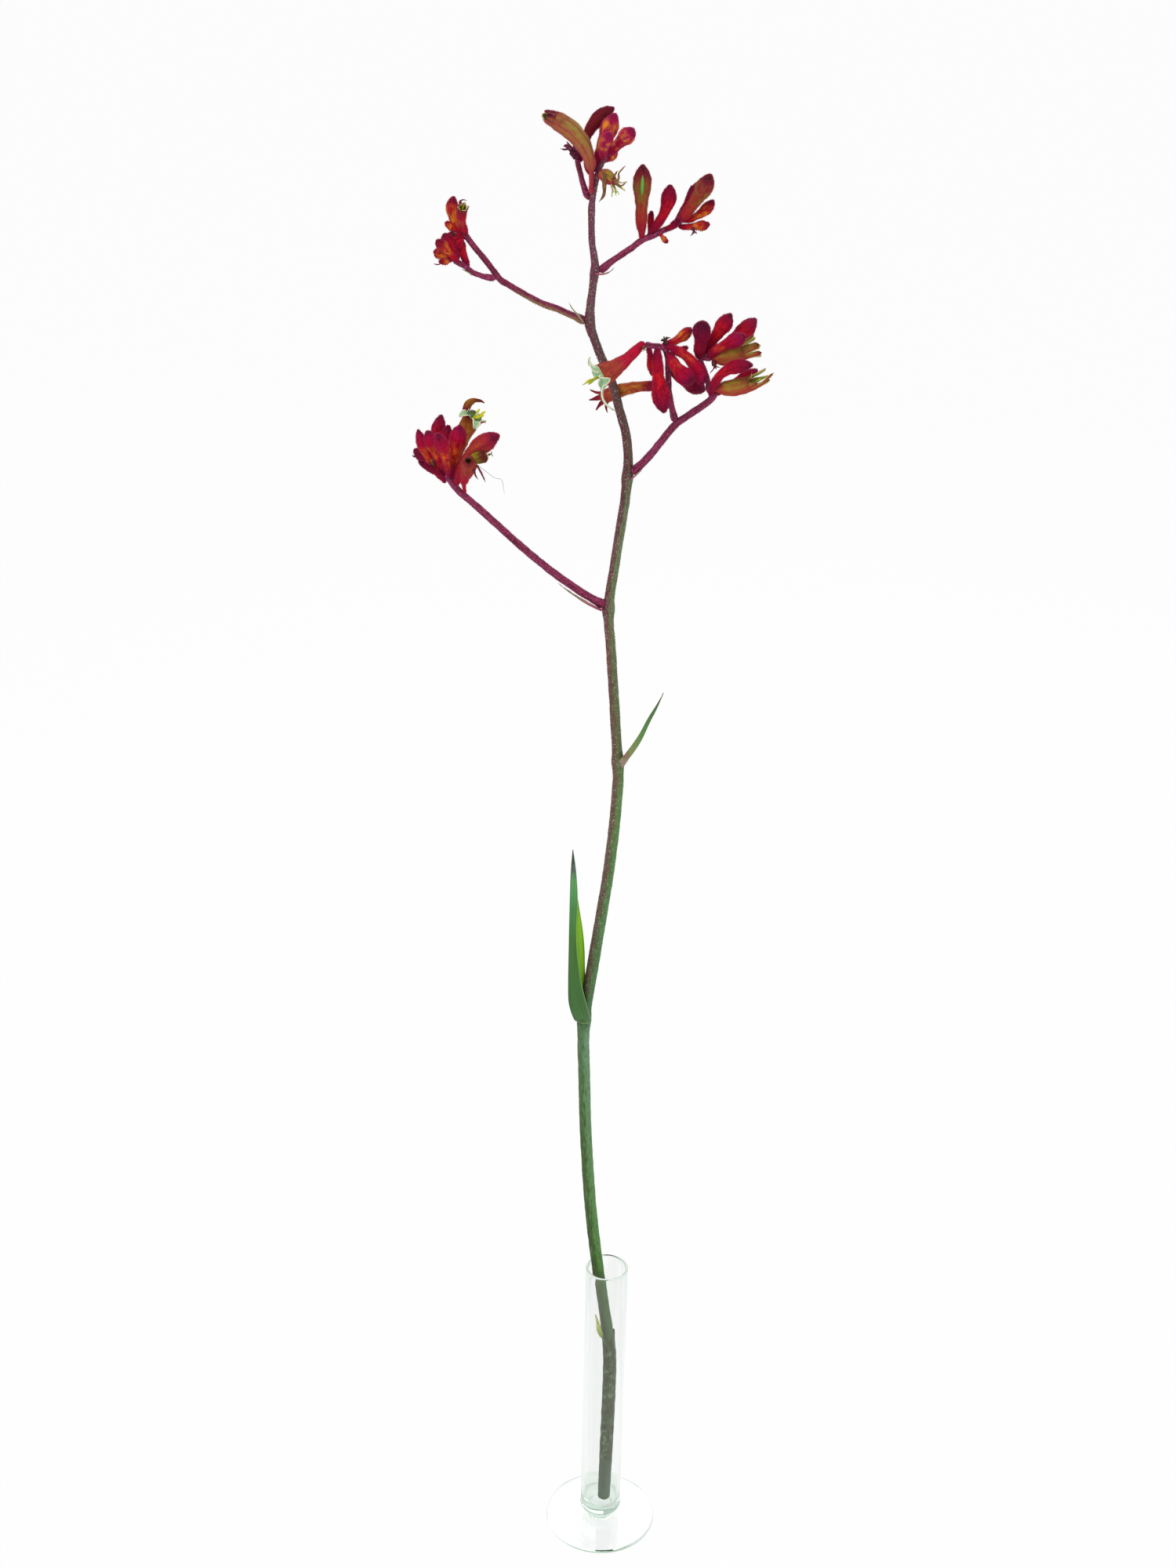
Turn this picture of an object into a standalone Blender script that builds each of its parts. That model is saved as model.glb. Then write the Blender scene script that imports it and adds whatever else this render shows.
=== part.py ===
"""Red kangaroo paw standing in a glass bud vase, drawn at its real size.

The vase is a straight tube with a thick base, fused to a round foot. One
flower stem leans in it, with two leaves, four flowering branches and their
twigs. Every bud and flower is a solid of its own, seated on its branch.
All lengths below are in millimetres. The vase's axis is x = 0, y = 0, the
foot stands on z = 0 and the front is -Y.
"""
from math import cos, pi, radians, sin

import bmesh
import bpy
from mathutils import Vector
from mathutils.geometry import intersect_point_line

MM = 0.001
GAP = 0.3                   # clearance between a piece and what carries it

# --- vase ---
FOOT_RADIUS = 32.0
FOOT_THICKNESS = 2.8
FOOT_EDGE = 1.1             # rounding of the foot's edge
TUBE_RADIUS = 11.8
WALL = 1.2
VASE_HEIGHT = 183.0
TUBE_BASE_RADIUS = 7.5      # where the tube's rounded base meets the foot
TUBE_BASE_HEIGHT = 7.0      # height of that rounding
INNER_FLOOR = 13.0
BEAD = 0.8                  # swelling of the tube at the thick base

# --- stems: points along the middle, bottom first ---
STEM = (
    (2, 0, 13.5), (3, 1, 78), (3, 2, 120), (-0.5, 3, 148), (-4, 3.5, 171), (-6, 4, 186),
    (-10, 6.5, 219), (-13.5, 7.5, 265), (-15.5, 8, 311), (-16, 7, 341), (-12.5, 6, 371),
    (-9, 4, 400), (-5.5, 2, 429), (-3, 0, 457), (-1.5, -1, 485), (-2, -1, 498), (-3, -1, 511),
    (-5, -1, 536), (-7, 0, 560), (-8.5, 1, 578), (-6.5, 2, 596), (-3.5, 2, 620),
    (-2, 1, 632), (-1, 0, 646), (-1, 0, 656), (-2.5, 0, 667), (-6, -1, 679),
    (-9.5, -1, 691), (-14, -1, 701), (-18.5, -1, 712), (-20.5, 0, 720), (-19.5, 2, 733),
    (-18.5, 2, 744), (-20, 1, 754), (-20.5, 0, 765), (-20.5, 0, 772), (-19.5, 0, 779),
    (-18, 0, 786), (-16, 0, 791), (-14, 0, 794),
)
# the stem's radius at a height: thick in its sheath, thin at the crown
STEM_RADII = (
    (13, 3.75), (125, 3.75), (145, 3.35), (187, 3.3), (341, 3.2), (371, 3.15), (429, 2.9),
    (485, 2.8), (511, 2.5), (640, 2.3), (667, 2.1), (712, 2), (733, 1.8), (755, 1.5), (794, 1.2),
)
# name: (what it grows from, points, radius at the start, radius at the end)
BRANCHES = {
    "crown_twig": (
        "main_stem",
        ((-20.5, 1, 771), (-24, 2, 778.5), (-26, 3, 785), (-27, 3, 789), (-27.5, 3, 792)),
        1.3, 1.1),
    "upper_right_branch": (
        "main_stem",
        ((-18.5, 2, 740), (-10, 4, 746.5), (-2, 7, 751.5), (3, 9, 755), (8.5, 10, 757),
         (12.5, 11, 759), (16.5, 12, 760.5), (21, 13, 763)), 1.5, 1.3),
    "upper_left_branch": (
        "main_stem",
        ((-20.5, 0, 718.5), (-29.5, 4, 721), (-36, 7, 723), (-43.5, 9, 725), (-52.5, 12, 729),
         (-59.5, 14, 732.5), (-63, 14, 735), (-69, 15, 742.5), (-74.5, 15, 749),
         (-78, 15, 753.5), (-80, 15, 755)), 1.6, 1.3),
    "upper_left_twig": (
        "upper_left_branch",
        ((-61.5, 14, 734), (-64.5, 13, 735), (-70, 12, 736), (-75, 11, 738),
         (-78, 10, 740.5), (-81.5, 10, 742.5), (-84, 10, 744)), 1.2, 1.2),
    "middle_right_branch": (
        "main_stem",
        ((-1, 0, 645), (3, -2, 649.5), (10.5, -6, 659.5), (20, -12, 674), (28.5, -15, 681.5),
         (36, -17, 688), (38, -18, 692.5)), 1.8, 1.5),
    "middle_right_inner_twig": (
        "middle_right_branch",
        ((20.5, -12, 675), (18, -14, 684.5), (16.5, -15, 692.5), (16, -16, 702),
         (15, -17, 709), (13, -18, 712), (8.5, -20, 713), (4.5, -22, 714)), 1.4, 1.3),
    "middle_right_outer_twig": (
        "middle_right_branch",
        ((35.5, -17, 688), (35, -15.5, 694), (32.5, -13.5, 701), (30.5, -12, 705.5),
         (33, -12, 706), (36.5, -12, 706)), 1.3, 1.2),
    "lower_left_branch": (
        "main_stem",
        ((-8.5, 1, 579), (-19, -2, 585.5), (-35.5, -6, 598.5), (-49.5, -10, 611.5),
         (-62, -13, 624), (-74, -16, 636), (-80, -18, 642), (-84, -18, 647),
         (-86.5, -18, 651)), 1.9, 1.5),
}

# --- leaves: (points along the keel, width of each half, the way the fold opens) ---
LEAVES = {
    "lower_leaf": (
        ((-21.2, 3.5, 343), (-24, 3, 354), (-24.8, 3, 370), (-24.8, 2.5, 392),
         (-24.6, 2, 415), (-24.4, 2, 434), (-23.9, 2, 445)), 9.0, (1, -0.15, 0)),
    "upper_leaf": (
        ((2.2, -2, 498), (5, -3, 502.5), (9, -4, 511), (13, -5.5, 521), (16.5, -6.5, 529),
         (19.5, -7, 537)), 4.4, (-0.7, -0.3, 0.5)),
    "lower_left_bract": (
        ((-12, -2, 578.5), (-16, -5, 581), (-23, -8, 586), (-29.5, -9.5, 590.5),
         (-33, -10, 594)), 2.6, (0.2, 0.4, 0.7)),
    "upper_left_bract": (
        ((-23, -1.8, 718.5), (-26, -1.5, 721), (-30, -1, 724), (-33, -0.5, 727)),
        1.6, (0.3, 0.4, 0.7)),
}
FOLD = radians(38)          # half the angle between a leaf's two halves
BLADE = 0.9                 # thickness of a leaf at its keel

# --- buds and flowers ---
# name: (branch, distance back from the branch's tip, tip seen from the seat,
#        greatest width, how far the middle bows to the viewer's left)
PAWS = {
    "crown_flower_1": ("main_stem", 16, (-22.5, -13, 33), 8.5, -7),
    "crown_flower_2": ("main_stem", 10, (7, -15, -3), 7, 2),
    "crown_bud_1": ("crown_twig", 1, (16, 9, 21.5), 6, 3.5),
    "crown_bud_2": ("main_stem", 8, (7, 6, 24), 7, 1),
    "crown_bud_3": ("main_stem", 0, (11.5, -6, 12), 6.5, 0),
    "crown_bud_4": ("main_stem", 2, (2, -16, 13), 5, 1),
    "crown_bud_5": ("crown_twig", 0, (-5, -2, 3), 4, 0),
    "upper_right_bud_1": ("upper_right_branch", 20, (-1, -5, 34.5), 7.3, 0.5),
    "upper_right_bud_2": ("upper_right_branch", 15, (7, 1, 23), 6, -2),
    "upper_right_bud_3": ("upper_right_branch", 1, (12.5, -10, 23.5), 7, -1),
    "upper_right_bud_4": ("upper_right_branch", 1, (8, 7, 17), 4.5, 0),
    "upper_right_bud_5": ("upper_right_branch", 0, (14, 0, 10), 4.5, -2),
    "upper_right_bud_6": ("upper_right_branch", 1.5, (14, -1, 0), 4, -1),
    "upper_left_bud_1": ("upper_left_branch", 1.5, (-5, 3, 17), 5.2, 3),
    "upper_left_flower_1": ("upper_left_branch", 1, (0, -9, 14), 4.8, 1),
    "upper_left_bud_2": ("upper_left_twig", 1, (-5, 2, 12), 5.5, 0),
    "upper_left_bud_3": ("upper_left_twig", 1.5, (-8, -8, 11), 4.5, 0),
    "upper_left_bud_4": ("upper_left_twig", 0, (-9, 3, 3), 4.5, 0),
    "upper_left_bud_5": ("upper_left_twig", 7, (-4, 7, 11.5), 4.5, 0),
    "middle_right_flower_1": ("middle_right_inner_twig", 0, (-19, -6, -13), 7.5, 1),
    "middle_right_flower_2": ("middle_right_inner_twig", 30, (-32, 31, -15), 6.5, -3),
    "middle_right_bud_1": ("middle_right_inner_twig", 7, (4, -8, -29), 7.5, -1),
    "middle_right_bud_2": ("middle_right_inner_twig", 14, (12, -11, -10), 7.5, -1),
    "middle_right_bud_3": ("middle_right_inner_twig", 11, (18, -2, -16), 6, 4),
    "middle_right_bud_4": ("middle_right_inner_twig", 22, (18, 18, -13), 6.5, -1),
    "middle_right_bud_5": ("middle_right_inner_twig", 10, (13, 10, 7), 4.5, -1),
    "middle_right_bud_6": ("middle_right_outer_twig", 6, (0, -6, 19), 7.5, 0),
    "middle_right_bud_7": ("middle_right_outer_twig", 5, (13, 8, 19), 6.5, 0),
    "middle_right_bud_8": ("middle_right_outer_twig", 1, (21, 16, 15), 7, -1),
    "middle_right_bud_9": ("middle_right_outer_twig", 2, (16, -10, 13), 6, 1),
    "middle_right_flower_3": ("middle_right_outer_twig", 0, (20, 0, 7), 8.5, -1),
    "middle_right_bud_10": ("middle_right_branch", 1, (16, -12, 16), 5.5, 5),
    "middle_right_bud_11": ("middle_right_branch", 1.5, (20, 10, 9), 4.5, 0),
    "middle_right_flower_4": ("middle_right_branch", 0, (24, -6, 10), 7, -2),
    "lower_left_flower_1": ("lower_left_branch", 4, (12, 18, 31), 6, 1),
    "lower_left_flower_2": ("lower_left_branch", 12.5, (11, -16, 22), 7, 3),
    "lower_left_bud_1": ("lower_left_branch", 7, (22, -11, 27.5), 7, 3.5),
    "lower_left_bud_2": ("lower_left_branch", 3, (6, -2, 26), 6.5, 0),
    "lower_left_bud_3": ("lower_left_branch", 0, (-8, -4, 21), 5.5, 0),
    "lower_left_bud_4": ("lower_left_branch", 1.5, (-3, -18, 25), 5, -1),
    "lower_left_bud_5": ("lower_left_branch", 1.5, (-3, 14, 25), 5.5, 3),
    "lower_left_bud_6": ("lower_left_branch", 1, (1, 6, 22), 4.5, 1),
    "lower_left_bud_7": ("lower_left_branch", 3, (-14, 0, 23), 4.5, 2),
    "lower_left_bud_8": ("lower_left_branch", 1.5, (-16, 10, 9), 4.5, 0),
}
# width along a bud or flower, as shares of its length and of its greatest width:
# stalk, ovary, waist, club and tip
PAW_PROFILE = (
    (0, 0.3), (0.1, 0.5), (0.22, 0.62), (0.38, 0.62), (0.55, 0.78), (0.74, 1), (0.9, 0.8), (1, 0.3),
)
PAW_RINGS = 9


def read_off(steps, place):
    """The value at a place in a list of (place, value) steps, straight between them."""
    for (low, first), (high, last) in zip(steps, steps[1:]):
        if place <= high:
            share = max(0.0, (place - low) / (high - low))
            return first + (last - first) * share
    return steps[-1][1]


def smooth(points, per_span=2):
    """Points on a smooth curve through the given ones."""
    knots = [Vector(p) for p in points]
    knots = [2 * knots[0] - knots[1]] + knots + [2 * knots[-1] - knots[-2]]
    line = []
    for before, start, end, after in zip(knots, knots[1:], knots[2:], knots[3:]):
        for step in range(per_span):
            t = step / per_span
            line.append(0.5 * (2 * start + (end - before) * t
                               + (2 * before - 5 * start + 4 * end - after) * t ** 2
                               + (3 * start - before - 3 * end + after) * t ** 3))
    return line + [knots[-2]]


def lengths(line):
    """How far along the line each of its points lies."""
    run = [0.0]
    for start, end in zip(line, line[1:]):
        run.append(run[-1] + (end - start).length)
    return run


def spot(line, back):
    """The point on a line at a distance back from its end, and the line's direction there."""
    run = lengths(line)
    place = run[-1] - back
    for index, (start, end) in enumerate(zip(line, line[1:])):
        if place <= run[index + 1]:
            share = (place - run[index]) / (run[index + 1] - run[index])
            return start.lerp(end, share), (end - start).normalized()
    return line[-1], (line[-1] - line[-2]).normalized()


def material(name, colour, roughness, **inputs):
    shade = bpy.data.materials.new(name)
    shade.use_nodes = True
    shade.diffuse_color = (*colour, 1)
    principled = shade.node_tree.nodes["Principled BSDF"]
    principled.inputs["Base Color"].default_value = (*colour, 1)
    principled.inputs["Roughness"].default_value = roughness
    for label, value in inputs.items():
        principled.inputs[label.replace("_", " ")].default_value = value
    return shade


def place(name, data, shade):
    thing = bpy.data.objects.new(name, data)
    bpy.context.scene.collection.objects.link(thing)
    data.materials.append(shade)
    return thing


def rod(name, line, radii, shade):
    """A round tapering rod along a line, with flat ends."""
    data = bpy.data.curves.new(name, "CURVE")
    data.dimensions = "3D"
    data.bevel_depth = MM
    data.bevel_resolution = 2
    data.use_fill_caps = True
    spline = data.splines.new("POLY")
    spline.points.add(len(line) - 1)
    for point, centre, radius in zip(spline.points, line, radii):
        point.co = (*(centre * MM), 1)
        point.radius = radius
    return place(name, data, shade)


def mesh_part(name, shape, shade):
    bmesh.ops.recalc_face_normals(shape, faces=shape.faces)
    data = bpy.data.meshes.new(name)
    shape.to_mesh(data)
    shape.free()
    return place(name, data, shade)


def turned(name, profile, steps, shade):
    """A solid turned round the vase's axis from its (radius, height) outline."""
    shape = bmesh.new()
    corners = [shape.verts.new((radius * MM, 0, height * MM)) for radius, height in profile]
    edges = [shape.edges.new(pair) for pair in zip(corners, corners[1:])]
    bmesh.ops.spin(shape, geom=corners + edges, cent=(0, 0, 0), axis=(0, 0, 1),
                   dvec=(0, 0, 0), angle=2 * pi, steps=steps)
    bmesh.ops.remove_doubles(shape, verts=shape.verts, dist=1e-6)
    part = mesh_part(name, shape, shade)
    part.data.shade_smooth()
    part.data.set_sharp_from_angle(angle=radians(50))
    return part


def rounded(radius, height, size, first, last, steps=4):
    """Points on a round corner about (radius, height), from one angle to another."""
    turn = [radians(first + (last - first) * step / steps) for step in range(steps + 1)]
    return [(radius + size * cos(angle), height + size * sin(angle)) for angle in turn]


def make_vase(glass):
    edge = FOOT_RADIUS - FOOT_EDGE
    foot = [(0, 0), (edge - 1, 0)]
    foot += rounded(edge, FOOT_EDGE, FOOT_EDGE, -70, 0, 3)
    foot += rounded(edge, FOOT_THICKNESS - FOOT_EDGE, FOOT_EDGE, 0, 90, 3)
    foot += [(0, FOOT_THICKNESS)]
    turned("vase_foot", foot, 48, glass)

    base = FOOT_THICKNESS + GAP / 3
    shoulder = FOOT_THICKNESS + TUBE_BASE_HEIGHT
    tube = [(0, base), (TUBE_BASE_RADIUS, base)]
    tube += [(TUBE_RADIUS, shoulder), (TUBE_RADIUS + BEAD, shoulder + 2), (TUBE_RADIUS, shoulder + 4)]
    rim = TUBE_RADIUS - WALL / 2
    tube += rounded(rim, VASE_HEIGHT - WALL / 2, WALL / 2, 0, 180)
    bore = TUBE_RADIUS - WALL
    tube += [(bore, INNER_FLOOR + 2.5), (bore - 2.5, INNER_FLOOR), (0, INNER_FLOOR)]
    turned("vase_tube", tube, 32, glass)


def off_line(point, line):
    """How far a point lies from a line, and the line's direction there."""
    best = None
    for start, end in zip(line, line[1:]):
        foot, share = intersect_point_line(point, start, end)
        foot = start.lerp(end, min(1.0, max(0.0, share)))
        reach = (point - foot).length
        if best is None or reach < best[0]:
            best = (reach, (end - start).normalized())
    return best


def start_clear(line, parent, parent_radius, radius):
    """The line without its part inside what it grows from, and 0.3 mm clear of that."""
    fine = [start.lerp(end, step / 20) for start, end in zip(line, line[1:]) for step in range(20)]
    ahead = (line[1] - line[0]).normalized()
    for point in fine:
        reach, along = off_line(point, parent)
        if reach > parent_radius + GAP + radius * abs(ahead.dot(along)):
            break
    spent = (point - line[0]).length
    return [point] + [later for later in line[1:] if (later - line[0]).length > spent + 0.5]


def make_branches(bark):
    """The stems' lines by name, each drawn as a rod."""
    stem = smooth(STEM)
    rod("main_stem", stem, [read_off(STEM_RADII, point.z) for point in stem], bark)
    lines = {"main_stem": stem}
    for name in sorted(BRANCHES, key=lambda key: BRANCHES[key][0] != "main_stem"):
        parent, points, first, last = BRANCHES[name]
        line = smooth(points)
        parent_radius = branch_radius(parent, lines[parent], line[0])
        line = start_clear(line, lines[parent], parent_radius, first)
        lines[name] = line
        run = lengths(line)
        rod(name, line, [first + (last - first) * along / run[-1] for along in run], bark)
    return lines


def branch_radius(name, line, point):
    """A stem's or branch's radius beside a point."""
    if name == "main_stem":
        return read_off(STEM_RADII, point.z)
    first, last = BRANCHES[name][2:]
    nearest = min(range(len(line)), key=lambda index: (line[index] - point).length)
    run = lengths(line)
    return first + (last - first) * run[nearest] / run[-1]


def paw_line(branch, line, back, reach, width, bow):
    """A bud's middle line, from its seat clear of the branch to its tip."""
    seat, along = spot(line, back)
    reach = Vector(reach)
    left = reach.cross(Vector((0, 1, 0))).normalized()
    bend = reach / 2 + 2 * bow * left
    start = bend.normalized()
    stalk = max(0.8, PAW_PROFILE[0][1] / 2 * width)
    tilt = start - along * start.dot(along)
    if back == 0:
        foot = along * (GAP + stalk * tilt.length)
    else:
        foot = tilt.normalized() * (branch_radius(branch, line, seat) + GAP
                                    + stalk * abs(start.dot(along)))
    points = []
    for ring in range(PAW_RINGS):
        t = ring / (PAW_RINGS - 1)
        points.append(seat + foot * (1 - t) ** 2 + bend * 2 * t * (1 - t) + reach * t ** 2)
    return points


def make_paws(lines, bud_skin, flower_skin):
    for name, (branch, back, reach, width, bow) in PAWS.items():
        line = paw_line(branch, lines[branch], back, reach, width, bow)
        shares = [ring / (PAW_RINGS - 1) for ring in range(PAW_RINGS)]
        radii = [max(0.7, width / 2 * read_off(PAW_PROFILE, share)) for share in shares]
        rod(name, line, radii, flower_skin if "flower" in name else bud_skin)


def make_leaf(name, keel, width, opens, shade):
    """A folded blade: an arrowhead section that shrinks to the tip."""
    line = smooth(keel, 3)
    run = lengths(line)
    shape = bmesh.new()
    rings = []
    for index, centre in enumerate(line):
        share = run[index] / run[-1]
        half = width * (0.1 + 0.9 * sin(pi * (0.08 + 0.9 * share)) ** 0.8)
        ahead = line[min(index + 1, len(line) - 1)] - line[max(index - 1, 0)]
        ahead.normalize()
        inward = Vector(opens)
        inward = (inward - ahead * inward.dot(ahead)).normalized()
        across = ahead.cross(inward)
        thick = min(BLADE, half * 0.45)
        ring = (centre,
                centre + half * (cos(FOLD) * inward + sin(FOLD) * across),
                centre + thick * inward,
                centre + half * (cos(FOLD) * inward - sin(FOLD) * across))
        rings.append([shape.verts.new(corner * MM) for corner in ring])
    for ring, following in zip(rings, rings[1:]):
        for side in range(4):
            other = (side + 1) % 4
            shape.faces.new((ring[side], ring[other], following[other], following[side]))
    for keel_out, edge_1, keel_in, edge_2 in (rings[0], rings[-1]):
        shape.faces.new((keel_out, edge_1, keel_in))
        shape.faces.new((keel_out, keel_in, edge_2))
    return mesh_part(name, shape, shade)


def main():
    for thing in list(bpy.data.objects):
        bpy.data.objects.remove(thing)
    glass = material("clear_glass", (0.86, 0.93, 0.89), 0.05, Transmission_Weight=1.0, IOR=1.5)
    bark = material("stem_skin", (0.10, 0.17, 0.09), 0.6)
    blade = material("leaf_skin", (0.08, 0.27, 0.08), 0.5)
    bud_skin = material("bud_velvet", (0.45, 0.02, 0.07), 0.8)
    flower_skin = material("flower_velvet", (0.36, 0.10, 0.05), 0.8)

    make_vase(glass)
    lines = make_branches(bark)
    make_paws(lines, bud_skin, flower_skin)
    for name, (keel, width, opens) in LEAVES.items():
        make_leaf(name, keel, width, opens, blade)


main()
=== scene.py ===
"""Red kangaroo paw in a glass bud vase: its looks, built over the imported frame.

Every bud, flower, stem and leaf takes its place and size from its CAD node.
Sizes in this file are millimetres; finish_piece turns a shape into metres.
"""
from math import atan2, cos, exp, pi, radians, sin
import random

import bmesh
import bpy
from mathutils import Matrix, Quaternion, Vector, noise


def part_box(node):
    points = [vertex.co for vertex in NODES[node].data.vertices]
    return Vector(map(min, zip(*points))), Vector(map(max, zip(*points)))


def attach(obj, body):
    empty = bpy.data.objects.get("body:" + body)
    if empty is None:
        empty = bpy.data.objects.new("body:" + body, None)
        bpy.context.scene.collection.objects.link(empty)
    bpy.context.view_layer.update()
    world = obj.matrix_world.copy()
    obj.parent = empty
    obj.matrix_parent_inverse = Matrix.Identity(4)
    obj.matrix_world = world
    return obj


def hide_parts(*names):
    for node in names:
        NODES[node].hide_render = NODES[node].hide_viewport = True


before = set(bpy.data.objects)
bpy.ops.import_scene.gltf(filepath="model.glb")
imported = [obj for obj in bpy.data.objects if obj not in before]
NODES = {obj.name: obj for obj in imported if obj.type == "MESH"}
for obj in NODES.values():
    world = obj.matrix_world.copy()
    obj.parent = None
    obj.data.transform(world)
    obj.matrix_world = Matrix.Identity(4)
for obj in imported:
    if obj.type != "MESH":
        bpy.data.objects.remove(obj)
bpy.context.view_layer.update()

MM = 0.001
RODS = [name for name in NODES if name == "main_stem" or name.endswith(("branch", "twig"))]


def put(name, data):
    """A new object in the scene that holds the data given."""
    thing = bpy.data.objects.new(name, data)
    bpy.context.scene.collection.objects.link(thing)
    return thing


# ---- camera

def set_camera():
    """A 50 mm lens one metre in front of the vase, looking 25 degrees down."""
    data = bpy.data.cameras.new("viewing_camera")
    data.lens = 50
    data.sensor_width = 36
    camera = put("viewing_camera", data)
    camera.matrix_world = (Matrix.Translation((-0.0166, -1.0, 0.950))
                           @ Matrix.Rotation(radians(65), 4, "X")
                           @ Matrix.Rotation(radians(1.24), 4, "Z"))
    bpy.context.scene.camera = camera


# ---- materials

def linear(code):
    """An sRGB hex colour as the linear values that a shader takes."""
    parts = [int(code[place:place + 2], 16) / 255 for place in (1, 3, 5)]
    return (*[part / 12.92 if part <= 0.04045 else ((part + 0.055) / 1.055) ** 2.4
              for part in parts], 1)


def add(tree, kind, inputs=None, stops=None, **settings):
    """Adds a shader node with its settings and links, and returns it.

    An input takes a number, an sRGB hex colour, a socket, or a node, which stands for its
    first output in use. A ramp also takes its stops, a hex colour for each place.
    """
    node = tree.nodes.new("ShaderNode" + kind)
    for setting, value in settings.items():
        setattr(node, setting, value)
    for place, value in (inputs or {}).items():
        if isinstance(value, bpy.types.Node):
            value = next(output for output in value.outputs if output.enabled)
        if isinstance(value, bpy.types.NodeSocket):
            tree.links.new(value, node.inputs[place])
        else:
            value = linear(value) if isinstance(value, str) else value
            node.inputs[place].default_value = value
    for index, (place, code) in enumerate((stops or {}).items()):
        elements = node.color_ramp.elements
        if index == len(elements):
            elements.new(1)
        elements[index].position = place
        elements[index].color = linear(code)
    return node


def start_material(name, roughness, specular=0.5, **settings):
    """A new material with its main shader's own values set, its tree, and that shader."""
    skin = bpy.data.materials.new(name)
    skin.use_nodes = True
    tree = skin.node_tree
    shader = tree.nodes["Principled BSDF"]
    settings.update(Roughness=roughness, Specular_IOR_Level=specular)
    for setting, value in settings.items():
        value = linear(value) if isinstance(value, str) else value
        shader.inputs[setting.replace("_", " ")].default_value = value
    return skin, tree, shader


def surface_places(tree):
    """The share along a piece, the place in its own grain in millimetres, and across its ribs."""
    along, grain, rib = (add(tree, "Attribute", attribute_name=name)
                         for name in ("along", "grain", "rib"))
    return along.outputs["Fac"], grain.outputs["Vector"], rib.outputs["Fac"]


def uneven(tree, value, grain, size, reach):
    """A value that wanders by about the reach, in patches of the size in millimetres."""
    cloud = add(tree, "TexNoise", {"Vector": grain, "Scale": 1 / size, "Detail": 3.0})
    wander = add(tree, "Math", {0: cloud, 1: 4 * reach, 2: value}, operation="MULTIPLY_ADD")
    return add(tree, "Math", {0: wander, 1: 2 * reach}, operation="SUBTRACT")


def lay(tree, under, over, value, low, high, most=1.0, where=None):
    """Lays a colour over another: none of it where the value is low, its most where high."""
    cover = add(tree, "MapRange",
                {"Value": value, "From Min": low, "From Max": high, "To Max": most})
    if where:
        cover = add(tree, "Math", {0: cover, 1: where}, operation="MULTIPLY")
    return add(tree, "Mix", {0: cover, 6: under, 7: over}, data_type="RGBA")


def fleck(tree, under, over, grain, size, low, high, most=1.0, long=1.0, where=None):
    """Lays one colour over another in flecks of about the size given, in millimetres.

    It starts where cloudy noise passes low and covers its most from high on. long draws the
    flecks out along the piece, and where is a mask. Also returns the noise, for relief.
    """
    place = add(tree, "Mapping", {"Vector": grain, "Scale": (1, 1, 1 / long)})
    cloud = add(tree, "TexNoise",
                {"Vector": place, "Scale": 1 / size, "Detail": 3.0, "Roughness": 0.6})
    return lay(tree, under, over, cloud, low, high, most, where), cloud


def paint(tree, shader, colour, relief=None, depth=0.3, strength=0.5):
    """Gives the shader its colour, and its relief as a bump of so many millimetres."""
    tree.links.new(next(out for out in colour.outputs if out.enabled),
                   shader.inputs["Base Color"])
    if relief:
        bump = add(tree, "Bump",
                   {"Height": relief, "Strength": strength, "Distance": depth * MM})
        tree.links.new(bump.outputs[0], shader.inputs["Normal"])


def change_under(tree, colour, under, grain, along, last=1.0, high=0.2, low=-0.7):
    """Another colour on the lower side, as far as last, reached in patches 2 mm across."""
    normal = add(tree, "NewGeometry").outputs["Normal"]
    up = add(tree, "SeparateXYZ", {0: normal}).outputs["Z"]
    near = add(tree, "MapRange", {"Value": along, "From Min": last + 0.15, "From Max": last})
    return lay(tree, colour, under, uneven(tree, up, grain, 2.0, 0.25), high, low, where=near)


def petal_velvet(name, stops, deep, rim, glow=None, patch_and_painted_glow_at=(), seams=0.55, amount=1.0,
                 under=None):
    """Petal skin under a dense coat of plant wool: matte, and rosy where the light grazes.

    Colours change from base to tip in ragged patches 3 mm wide. Dark mottling is 1.6 mm,
    the wool's own tufts 0.6 mm, and the six petals meet in dark seams. Near the middle lie
    warm patches: the petals' own olive and orange, and on the red buds a painted glow that
    stands in for light through thin petal.
    """
    skin, tree, shader = start_material(name, 0.75, 0.10, Sheen_Weight=0.08,
                                        Sheen_Roughness=0.4, Sheen_Tint=rim)
    along, grain, rib = surface_places(tree)
    colour = add(tree, "ValToRGB", {0: uneven(tree, along, grain, 3.0, 0.065)}, stops)
    # Warm patches around each place along it: the petal's own colour, and on the red buds a
    # painted glow.
    for at, reach in patch_and_painted_glow_at:
        far = add(tree, "Math", {0: along, 1: at}, operation="SUBTRACT")
        far = add(tree, "Math", {0: far}, operation="ABSOLUTE")
        near = add(tree, "MapRange",
                   {"Value": far, "From Min": reach, "From Max": reach * 0.25})
        colour, _ = fleck(tree, colour, glow, grain, 2.4, 0.42, 0.60, amount, 1.7, near)
    if under:
        colour = change_under(tree, colour, under, grain, along)
    colour, _ = fleck(tree, colour, deep, grain, 1.6, 0.50, 0.78, 0.8, 2.0)
    colour = lay(tree, colour, deep, rib, -0.55, -1.0, seams)
    colour, tufts = fleck(tree, colour, rim, grain, 0.6, 0.57, 0.80, 0.55)
    paint(tree, shader, colour, tufts, 0.4, 0.6)
    return skin


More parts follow.
